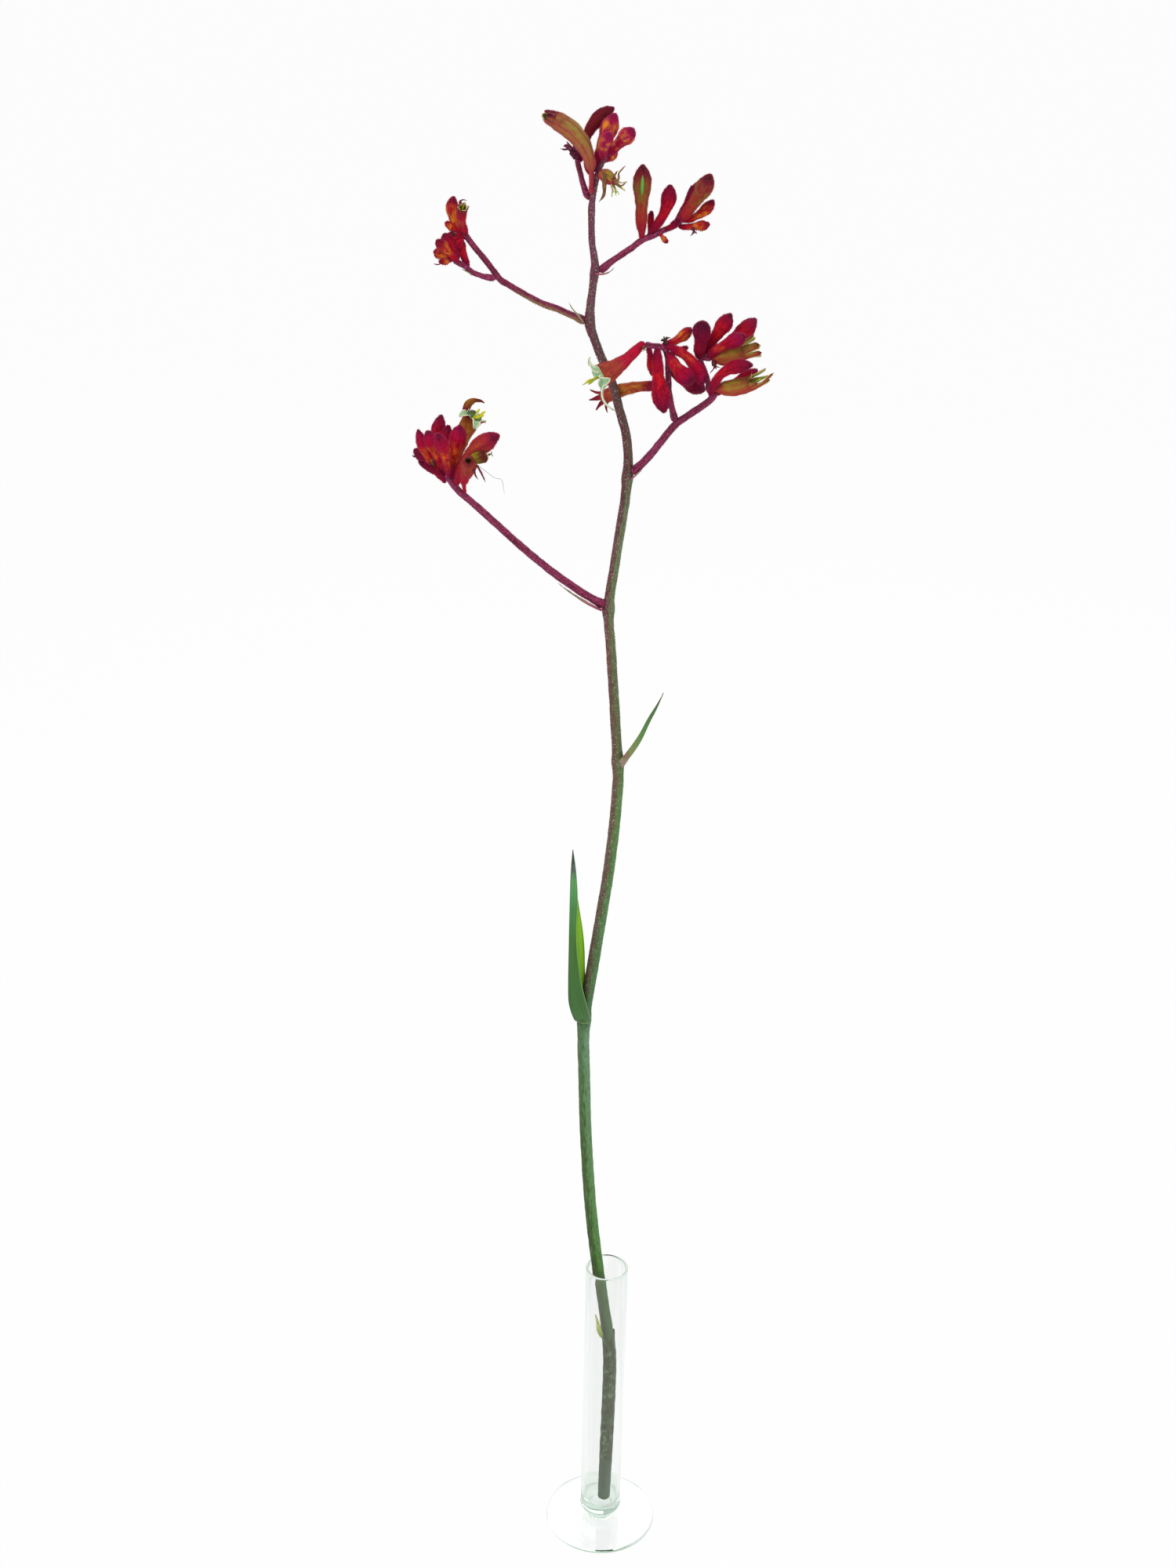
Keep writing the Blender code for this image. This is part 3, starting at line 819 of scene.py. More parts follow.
def grow_petals(shape, mouth, axis, toward, petals, dice, bare=None):
    """Six petals drawn on from the mouth's ring, each curling its own way.

    The first faces toward, and the rest follow round the axis. Past the share bare of
    its length a petal has the lining's finish outside too.
    """
    centre = sum((corner.co for corner in mouth), Vector()) / len(mouth)
    first = (toward - axis * toward.dot(axis)).normalized()
    other = axis.cross(first)
    count = len(mouth)
    each = count // 6
    begin = -pi / 6 - pi / count
    angles = {corner: (atan2((corner.co - centre).dot(other), (corner.co - centre).dot(first))
                       - begin) % (2 * pi) for corner in mouth}
    ordered = sorted(mouth, key=angles.get)
    grain_layer = shape.verts.layers.float_vector["grain"]
    steps = 8
    for number, (length, curl, outline) in enumerate(petals):
        row = [ordered[(number * each + index) % count] for index in range(each + 1)]
        edges = [shape.edges.get((start, end)) for start, end in zip(row, row[1:])]
        middle = row[each // 2]
        out = middle.co - centre
        out = (out - axis * out.dot(axis)).normalized()
        across = out.cross(axis).normalized()
        place = sum((corner.co for corner in row), Vector()) / len(row)
        facing = Matrix((across, out, axis)).transposed().to_quaternion()
        before = Matrix.LocRotScale(place, facing, (1, 1, 1))
        base = middle[grain_layer].z
        twist = dice.uniform(-0.2, 0.2)
        for step in range(1, steps + 1):
            reach = step / steps
            wide = read_off(outline, reach)
            bend = Quaternion((1, 0, 0), -radians(curl) / steps * (1.5 - reach))
            facing = facing @ bend @ Quaternion((0, 0, 1), twist / steps)
            place = place + (facing @ Vector((0, 0, 1))) * (length / steps)
            after = Matrix.LocRotScale(place, facing, (wide, 0.35 + 0.65 * wide, 1))
            row, edges, faces = extend(shape, edges)
            bmesh.ops.transform(shape, matrix=after @ before.inverted(), verts=row)
            widest = max((corner.co - place).length for corner in row)
            for corner in row:
                mark(shape, corner, TUBE_SHARE + (1 - TUBE_SHARE) * reach,
                     (corner.co.x, corner.co.y, base + length * reach),
                     (corner.co - place).length / max(widest, 1e-6))
            if bare is not None and reach > bare:
                for face in faces:
                    face.material_index = LINING
            before = after
        bmesh.ops.pointmerge(shape, verts=row, merge_co=place)


def make_flower(name, lines, finishes, dice, velvet, petals, toward=(0, -1, 0), opens_at=0.86,
                stamens=(), claws=(), profile=TUBE, bare=None, nod=(0, 0, 0),
                nods_from=0.55, girth=1.0, ragged=0.22, bears=None, hair="red_wool",
                lining="cream_petal_lining", claw="dried_petal"):
    """An open flower: a woolly tube split into six petals at its mouth, with its stamens.

    petals holds the length, curl and outline of each, or one set and how far six vary
    from it. nod moves the mouth aside and bends the tube's end that way.
    """
    if len(petals) == 4:
        length, curl, outline, vary = petals
        petals = [(length * dice.uniform(1 - vary, 1 + vary),
                   curl * dice.uniform(1 - vary, 1 + vary), outline) for _ in range(6)]
    line, widest = grown_line(name, lines, bears)
    count = min(len(line) - 1, max(4, round(len(line) * opens_at)))
    line = line[:count + 1]
    run = lengths(line)
    line = [point + Vector(nod) * max(0.0, (along / run[-1] - nods_from)
                                      / (1 - nods_from)) ** 2
            for point, along in zip(line, run)]
    toward = Vector(toward)
    aside = frames_along(line, [1.0] * len(run))[-1].to_3x3().inverted() @ toward
    shape = new_shape()
    rings = draw_out(shape, line, swelling(line, widest * girth, profile), 36, depth=0.03,
                     shift=dice.uniform(0, 500), turn=atan2(aside.y, aside.x),
                     spans=(0, TUBE_SHARE), closed=(True, False))
    axis = (line[-1] - line[-2]).normalized()
    grow_petals(shape, rings[-1], axis, toward, petals, dice, bare)
    bmesh.ops.remove_doubles(shape, verts=shape.verts, dist=1e-4)
    face_out(shape, line)
    roughen(shape, 3.0, ragged, dice.uniform(0, 50))
    give_wall(shape, PETAL_WALL, LINING)
    grow_hairs(shape, 0.6, 0.17, 1.1, dice)
    mouth = line[-1]
    for length, aside, thick, skin in stamens:
        # A stamen is a thin thread from the tube's base that ends in a fat anther.
        aside = Vector(aside)
        thread = smooth([*line[:-2:max(1, len(line) // 5)], mouth + aside * 0.25,
                         mouth + axis * (length * 0.5) + aside * 0.6,
                         mouth + axis * length + aside], 0.7)
        run = lengths(thread)
        anther = ((0, 0.2), (0.6, 0.85), (2.2, 1.0), (2.9, 0.42))
        radii = [thick / 2 * read_off(anther, run[-1] - along) for along in run]
        pour(drawn(thread, radii, 8, dice, ribs=2, depth=0.06), shape, skin)
    for thick, *points in claws:
        # A claw is a petal dried to a narrow hook, drawn through points seen from the mouth.
        hook = smooth([mouth + Vector(point) for point in points], 0.5)
        radii = swelling(hook, thick / 2, ((0, 0.9), (0.3, 1.0), (0.7, 0.7), (1, 0.12)))
        pour(drawn(hook, radii, 10, dice, ((1.2, 0.12),), ribs=2, depth=0.08, flat=0.7),
             shape, CLAW)
    skins = (velvet + "_velvet", hair, lining, "anther_yellow", "filament_green", claw)
    finish_piece(shape, name + "_petals", [finishes[skin] for skin in skins],
                 (name,))


# ---- leaves

def make_blade(name, keel, edge_1, edge_2, skins, nodes, thick, shift):
    """A folded strap leaf between its keel and its two edges, each a list of places.

    The first finish is its outside, the keel's side, and the second its inside.
    """
    shape = new_shape()
    across = 10
    run = lengths(keel)
    for index, (middle, left, right) in enumerate(zip(keel, edge_1, edge_2)):
        row = []
        for column in range(across + 1):
            t = column / across * 2 - 1
            side = right if t > 0 else left
            row.append((middle.lerp(side, abs(t) ** 1.25), t * (side - middle).length, abs(t)))
        if index:
            ring, edges, _ = extend(shape, edges)
            fresh = set(ring)
            corners = [next(edge.other_vert(corner) for edge in corner.link_edges
                            if edge.other_vert(corner) in fresh) for corner in corners]
        else:
            corners = [shape.verts.new(place) for place, _, _ in row]
            edges = [shape.edges.new(pair) for pair in zip(corners, corners[1:])]
        for corner, (place, x, margin) in zip(corners, row):
            corner.co = place
            mark(shape, corner, run[index] / run[-1], (x, 0, run[index] + shift), margin)
    bmesh.ops.remove_doubles(shape, verts=shape.verts, dist=1e-3)
    shape.normal_update()
    half = len(keel) // 2
    middle = min(shape.verts, key=lambda corner: (corner.co - keel[half]).length)
    if middle.normal.dot(keel[half] * 2 - edge_1[half] - edge_2[half]) < 0:
        bmesh.ops.reverse_faces(shape, faces=shape.faces)
    give_wall(shape, thick, 1)
    finish_piece(shape, name, skins, nodes)


def strap(points, count):
    """A smooth line of that many places through points."""
    line = smooth(points, 1.0)
    run = lengths(line)
    return [line[min(range(len(run)),
                     key=lambda place: abs(run[place] - run[-1] * index / (count - 1)))]
            for index in range(count)]


# Each leaf's keel, front edge and back edge from base to tip, its finishes, its node, how
# many places it is drawn at, its thickness, and where its veins start.
LEAVES = {
    "lower_leaf_blade": ((
        ((-19.6, 5, 340.5), (-20.9, 3.6, 342), (-22.2, 2.4, 345.5), (-23.5, 1.8, 350),
         (-24.6, 2, 356), (-24.9, 2.2, 368), (-24.9, 2.2, 385), (-24.9, 2.2, 398),
         (-24.8, 2.2, 418), (-24.5, 2, 434), (-23.8, 2, 445.2)),
        ((-12.2, 5.2, 340.5), (-12.6, 4.2, 342), (-13.0, 3.0, 345.5), (-13.8, 2.2, 350),
         (-15.4, 1.4, 356), (-18.0, 0.6, 368), (-20.3, 0.2, 385), (-21.0, 0.2, 398),
         (-20.8, 0.6, 418), (-22.0, 1.2, 434), (-23.7, 1.9, 445.2)),
        ((-13.4, 10.4, 340.5), (-13.4, 10.2, 342), (-13.2, 9.6, 345.5), (-13.4, 8.8, 350),
         (-14.2, 7.6, 356), (-16.0, 6.4, 368), (-16.7, 5.6, 385), (-18.0, 5.0, 398),
         (-21.0, 3.6, 418), (-22.4, 2.8, 434), (-23.7, 2.1, 445.2))),
        ("leaf_blade", "leaf_inside"), "lower_leaf", 60, 0.45, 0),
    "upper_leaf_blade": ((
        ((0.6, -3, 494), (2.2, -3.5, 498), (5.4, -5, 503), (9.6, -6, 511),
         (13.4, -6.8, 521), (16.8, -7, 529), (19.8, -7, 537.4)),
        ((-2.5, -4, 497), (0.4, -4.5, 501), (3.6, -5, 506), (8.2, -5.5, 514),
         (12.4, -6.5, 523.5), (16.2, -7, 530.5), (19.8, -7, 537.4)),
        ((2.4, 1, 495), (4.2, -0.5, 499), (6.8, -2, 504.5), (10.4, -3.5, 512.5),
         (13.8, -5.2, 522), (16.9, -6.3, 529.5), (19.8, -7, 537.4))),
        ("young_leaf_blade", "young_leaf_blade"), "upper_leaf", 34, 0.4, 60),
}


# ---- small pieces

# Each kind's places a step apart, its sides, its lumps, its section, and its width as
# shares of its length and of its greatest width.
STRANDS = {
    "bract": (0.8, 12, ((1.6, 0.2),), {"ribs": 2, "flat": 0.3},
              ((0, 0.55), (0.2, 0.9), (0.45, 1.0), (0.75, 0.55), (0.92, 0.22), (1, 0.04))),
    "capsule": (0.5, 18, ((1.8, 0.25),), {"ribs": 3, "depth": 0.05},
                ((0, 0.3), (0.12, 0.72), (0.4, 1.0), (0.75, 0.95), (0.92, 0.6), (1, 0.12))),
    "thread": (0.6, 6, (), {"ribs": 2}, ((0, 1), (0.8, 0.8), (1, 0.3))),
}


def make_strand(name, skins, dice, kind, wide, *points, slot="leaf", nodes=(), turn=0.0):
    """A small piece drawn through points: a flat pointed bract, a seed capsule, a thread."""
    step, sides, lumps, section, widths = STRANDS[kind]
    line = smooth(points, step)
    shape = drawn(line, swelling(line, wide / 2, widths), sides, dice if lumps else None,
                  lumps, turn=turn, **section)
    finish_piece(shape, name, skins, nodes)


def make_small_bud(name, skins, dice, line, back, tip, wide):
    """One of the tiny buds between the large ones, seated on its branch."""
    run = lengths(line)
    goal = max(0.0, run[-1] - back)
    seat = line[min(range(len(run)), key=lambda place: abs(run[place] - goal))]
    reach = Vector(tip)
    middle = seat + reach * 0.45 + Vector((0, -0.04, -0.06)) * reach.length
    line = smooth([seat, middle, seat + reach], 0.6)
    shape = drawn(line, swelling(line, wide / 2, SMALL_CLUB), 18, dice, ((2.0, 0.2),),
                  depth=0.03)
    grow_hairs(shape, 0.7, 0.28, 0.8, dice, 0.3)
    finish_piece(shape, name, skins)


def make_slit(name, skins, _, lines, bud, first, last, wide):
    """Where a bud's petals have begun to part: a bare sliver on its front."""
    line, widest = grown_line(bud, lines)
    run = lengths(line)
    part = [point + Vector((0, -widest * read_off(CLUB, along / run[-1]) * 0.99, 0))
            for point, along in zip(line, run) if first < along / run[-1] < last]
    radii = swelling(part, wide / 2, ((0, 0.1), (0.4, 1), (0.7, 0.9), (1, 0.1)))
    finish_piece(drawn(part, radii, 12, ribs=2), name, skins)


def make_tuft(name, skins, dice, petals, size, ahead, seat, nodes=()):
    """A withered flower: a short shrunken tube with its dry petals curled out of it."""
    seat, ahead = Vector(seat), Vector(ahead).normalized()
    side = ahead.orthogonal().normalized()
    shape = new_shape()
    neck = smooth([seat, seat + ahead * size * 0.25, seat + ahead * size * 0.5], 0.5)
    run = lengths(neck)
    radii = [size * 0.2 * (0.7 + 0.5 * along / run[-1]) for along in run]
    draw_out(shape, neck, radii, 12, depth=0.1, shift=dice.uniform(0, 500))
    for number in range(petals):
        around = Quaternion(ahead, 2 * pi * number / petals + dice.uniform(-0.3, 0.3)) @ side
        reach = size * dice.uniform(0.4, 0.75)
        start = seat + ahead * size * 0.42
        hook = smooth([start, start + ahead * reach * 0.4 + around * reach * 0.25,
                       start + ahead * reach * 0.6 + around * reach * 0.6,
                       start + ahead * reach * dice.uniform(0.2, 0.9)
                       + around * reach * 0.85], 0.5)
        radii = swelling(hook, size * 0.11, ((0, 1), (0.6, 0.8), (1, 0.12)))
        draw_out(shape, hook, radii, 8, flat=0.5, shift=dice.uniform(0, 500),
                 turn=dice.uniform(0, 3))
    face_out(shape)
    roughen(shape, 1.0, 0.15, dice.uniform(0, 50))
    finish_piece(shape, name, skins, nodes)


# ---- studio

def seen_directly(tree):
    """1 for a ray from the camera, off a shiny surface or through glass.

    Light on its way to a matt surface isn't counted, inside the vase or outside it.
    """
    path = add(tree, "LightPath").outputs
    seen = add(tree, "Math", {0: path["Is Camera Ray"], 1: path["Is Glossy Ray"]},
               operation="MAXIMUM")
    seen = add(tree, "Math", {0: seen, 1: path["Is Transmission Ray"]}, operation="MAXIMUM")
    matt = add(tree, "Math", {0: path["Diffuse Depth"], 1: 0.5}, operation="GREATER_THAN")
    return add(tree, "Math", {0: seen, 1: matt}, operation="SUBTRACT", use_clamp=True)


def set_studio():
    """A plain white table and room, soft lamps at a plain level."""
    bpy.context.scene.view_settings.view_transform = "Standard"
    table = bmesh.new()
    metres, just_under = 30, -0.0001
    bmesh.ops.create_grid(table, x_segments=1, y_segments=1, size=metres)
    bmesh.ops.translate(table, vec=(0, 0, just_under), verts=table.verts)
    floor = put("studio_table", as_mesh(table, "studio_table"))
    table.free()
    skin, tree, shader = start_material("white_table", 0.9, 0.2, Base_Color="#F2F2F2")
    white = add(tree, "Emission", {"Color": "#FFFFFF", "Strength": 1.0})
    seen = add(tree, "Math", {0: seen_directly(tree), 1: 0.96}, operation="MULTIPLY")
    mixed = add(tree, "MixShader", {0: seen, 1: shader, 2: white})
    tree.links.new(mixed.outputs[0], tree.nodes["Material Output"].inputs["Surface"])
    floor.data.materials.append(skin)

    world = bpy.data.worlds.new("studio_room")
    bpy.context.scene.world = world
    world.use_nodes = True
    tree = world.node_tree
    strength = add(tree, "MapRange",
                   {"Value": seen_directly(tree), "To Min": 0.5, "To Max": 1.0})
    room = tree.nodes["Background"]
    room.inputs["Color"].default_value = (1, 1, 1, 1)
    tree.links.new(strength.outputs["Result"], room.inputs["Strength"])

    for name, place, size, watts in (
            ("key_lamp", (-0.9, -1.1, 1.7), 1.2, 14), ("fill_lamp", (1.3, -0.9, 1.0), 1.0, 6),
            ("back_lamp", (0.4, 1.3, 1.5), 1.2, 9)):
        lamp = bpy.data.lights.new(name, "AREA")
        lamp.size = size
        lamp.energy = watts
        holder = put(name, lamp)
        holder.location = place
        aim = Vector((0, 0, 0.45)) - Vector(place)
        holder.rotation_euler = aim.to_track_quat("-Z", "Y").to_euler()


# ---- looks

# Each velvet's colours from base to tip, its dark mottling, the rim of its wool, its warm
# patch and where that lies, how dark its seams are, how strongly the patch shows, and its
# lower side. The patch is partly the petals' own olive and orange, and on the red buds a
# painted glow, standing in for light through thin petal.
VELVETS = {
    "crimson": ({0: "#78062E", 0.2: "#9C042C", 0.45: "#B80222", 0.7: "#A00228", 0.88: "#860632",
        0.97: "#3E0820"}, "#5A021A", "#D8386C", "#D41A18", ((0.5, 0.3),)),
    # The glowing buds' bright red middle and orange patch are painted glow.
    "glowing": ({0: "#8E0634", 0.25: "#B80426", 0.5: "#DA0A1C", 0.72: "#BC0430", 0.9: "#A00840",
        0.98: "#560A2C"}, "#72021C", "#E04078", "#F87A1A", ((0.46, 0.28),)),
    "flushed": ({0: "#84062E", 0.2: "#B00430", 0.45: "#C60424", 0.7: "#AE0230", 0.88: "#920640",
        0.98: "#4A0A26"}, "#68021C", "#E04078", "#F0641C", ((0.4, 0.2),), 0.55, 0.6),
    "ember": ({0: "#A80A34", 0.2: "#B81A30", 0.42: "#B83E2C", 0.74: "#B43430", 0.88: "#981C38",
        0.98: "#5E0E2E"}, "#7A1624", "#D8486C", "#A8602C", ((0.55, 0.3),), 0.4, 0.6),
    "crimson_tube": ({0: "#98082E", 0.2: "#C00A30", 0.5: "#B4082C", 0.62: "#9A1A2A",
        0.7: "#6A1622", 1: "#3A0C1A"}, "#74061E", "#E85C84", "#D8785C", ((0.35, 0.15),), 0.3,
        0.5),
    "spotted": ({0: "#960A3C", 0.25: "#B40A3E", 0.6: "#B00A3E", 0.8: "#B40A4C", 0.96: "#860A40"},
        "#6E0630", "#E0407E", "#F09420", ((0.46, 0.15), (0.74, 0.15))),
    "wine": ({0: "#6A0428", 0.3: "#88042C", 0.7: "#7A0632", 0.95: "#360820"}, "#42041A",
        "#B83A68", "#A80C26", ((0.4, 0.25),)),
    "olive": ({0: "#A80A34", 0.16: "#AC1E2E", 0.36: "#AE3A2A", 0.6: "#9E3C2A", 0.82: "#86242E",
        0.92: "#5E1A2C", 0.98: "#260E18"}, "#701622", "#D4505C", "#867A2E", ((0.62, 0.26),), 0.3,
        0.8),
    "brown": ({0: "#A80A3C", 0.2: "#7A1228", 0.6: "#6E1A1C", 0.9: "#5C141C", 1: "#2A0C14"},
        "#3E0C14", "#B83A5C", None, (), 0.3),
    "orange": ({0: "#A40430", 0.25: "#C40820", 0.55: "#D42418", 0.8: "#AC1A24", 0.93: "#6A0E24",
        0.99: "#340C1A"}, "#84061E", "#DC4468", "#F4901E", ((0.55, 0.3),)),
    "red_tube": ({0: "#A2042E", 0.15: "#C80A36", 0.32: "#BE1C38", 0.45: "#A43A38",
        0.65: "#9A4032", 0.8: "#8E3430", 1: "#5A1C24"}, "#7E1424", "#E04E78", "#B4502C",
        ((0.55, 0.2),), 0.3),
    "brown_tube": ({0: "#A80E3A", 0.2: "#A02434", 0.32: "#9C4028", 0.45: "#A05E22",
        0.6: "#96541E", 0.7: "#84381E", 0.88: "#6A1E22", 0.96: "#4A1420"}, "#7E2C1E", "#D8505C",
        "#A87A28", ((0.42, 0.2),), 0.3),
    "olive_pod": ({0: "#B41A38", 0.1: "#B83A38", 0.22: "#AA7032", 0.5: "#9C7C30", 0.66: "#8A5A30",
        0.8: "#8A6C30", 0.92: "#76502E", 0.985: "#3E1428"}, "#9A4430", "#D8585C", "#A89A34",
        ((0.3, 0.25), (0.8, 0.12)), 0.45, 1.0, "#B83C34"),
    "crown_tube": ({0: "#B01440", 0.2: "#B83444", 0.28: "#B05A3E", 0.36: "#A07E3C",
        0.58: "#9C783C", 0.64: "#84482E", 0.7: "#6A1E2C", 1: "#34101E"}, "#A02C40", "#E4506C",
        "#A09C40", ((0.42, 0.24),), 0.75, 1.0, "#B0683E"),
    "old_flower": ({0: "#B41A38", 0.2: "#A8502E", 0.5: "#9C8A34", 0.66: "#A87434",
        0.76: "#B04030", 0.9: "#7A1E2A", 1: "#3E1428"}, "#8A3A28", "#D8585C", "#A89A34",
        ((0.5, 0.2),), 0.45, 1.0, "#B44A30"),
    "orange_tube": ({0: "#780438", 0.14: "#82042E", 0.22: "#B03424", 0.4: "#C06426",
        0.6: "#A83A2A", 0.7: "#8A1C2A", 1: "#5E1422"}, "#7A1C22", "#E0586C", "#D48E30",
        ((0.36, 0.2),), 0.3),
    "capsule": ({0: "#A8982C", 0.3: "#8E861E", 0.5: "#7C621C", 0.68: "#5E1A1E", 0.88: "#56141E",
        1: "#C0AE3C"}, "#5A2A18", "#B8AE50", None, (), 0.3),
}
VELVETS = {"capsule_skin" if name == "capsule" else name + "_velvet": look
           for name, look in VELVETS.items()}

# Every other finish by its function: its material's name, and the colours it takes.
LOOKS = {
    branch_skin: {
        "branch_skin": ("#8C3656", "#5C1A30", "#C44A80"),
        "olive_branch_skin": ("#7E2E4A", "#5A1A30", "#A83E6C", "#96824A")},
    leaf_skin: {
        "leaf_blade": ({0: "#4E7A44", 0.15: "#427034", 0.5: "#40762E", 0.72: "#559850",
                        0.84: "#62A664", 0.9: "#5A6A62", 0.95: "#2C3444", 1: "#1A1E30"},
                       "#2C5424", 0.42, "#86AE78"),
        "leaf_inside": ({0: "#5A8A3A", 0.2: "#70A82A", 0.35: "#8AC824", 0.6: "#98D622",
                         0.8: "#62963E", 1: "#22283A"}, "#6CA024"),
        "young_leaf_blade": ({0: "#B07A84", 0.2: "#8A8A58", 0.45: "#5A8A44", 0.8: "#4A6A3C",
                              0.93: "#5A3A3A", 1: "#3A2028"}, "#6C9A50"),
        "bract_blade": ({0: "#A0305C", 0.35: "#A8586C", 0.6: "#8C7A5C", 0.85: "#7A5A50",
                         1: "#4A3038"}, "#C88A8C", 0.6),
        "green_bract_blade": ({0: "#8A3A50", 0.3: "#8A8A5C", 0.7: "#7A8A50", 1: "#4A4A38"},
                              "#B8B08A", 0.6),
        "pale_bract_blade": ({0: "#6A7A48", 0.3: "#98A850", 0.75: "#B4BC5A", 1: "#7A7A3C"},
                             "#D8DC9A", 0.55)},
    wool: {
        "pink_wool": ("#96083A", "#E2447E"), "rosy_wool": ("#B81454", "#EC5C94"),
        "red_wool": ("#A42438", "#E0606C"), "stem_wool": ("#74304C", "#B8608C"),
        "magenta_wool": ("#86204E", "#C85A90")},
    petal_velvet: VELVETS,
    waxy: {
        "petal_lining": ("#8CBC82", "#F0EED4"), "cream_petal_lining": ("#9A9A3C", "#DCD68C"),
        "anther_yellow": ("#D8D010", "#F0EC40", 0.5),
        "filament_green": ("#A4B430", "#CCDC60", 0.45),
        "parted_petal": ("#5EA83C", "#8CC860", 0.5)},
    dried: {
        # The sheath's dark greens are its dry colour, darkened further as painted shade in the
        # vase.
        "stem_sheath_skin": ("#4A5630", "#2A2C14", "#6E8262"),
        "leaf_base_skin": ("#8CAC7C", "#5E8A52"), "dried_petal": ("#8A2C38", "#3A141E"),
        "dried_olive_petal": ("#98683A", "#5E342A"),
        "withered_wine_flower": ("#7E2448", "#42122A"),
        "withered_flower": ("#5E3A34", "#2A1A20"), "dry_thread": ("#C8C4BC", "#A8A49C")},
}


# ---- plant

# each cluster's closed buds, by their velvets, in the order of their numbers
BUDS = {
    "crown": "brown spotted spotted spotted",
    "upper_right": "olive crimson olive wine orange orange",
    "upper_left": "orange crimson orange orange crimson",
    "middle_right": "crimson flushed flushed wine orange wine crimson crimson flushed"
                    " crimson crimson",
    "lower_left": "ember glowing glowing glowing crimson crimson glowing wine",
}

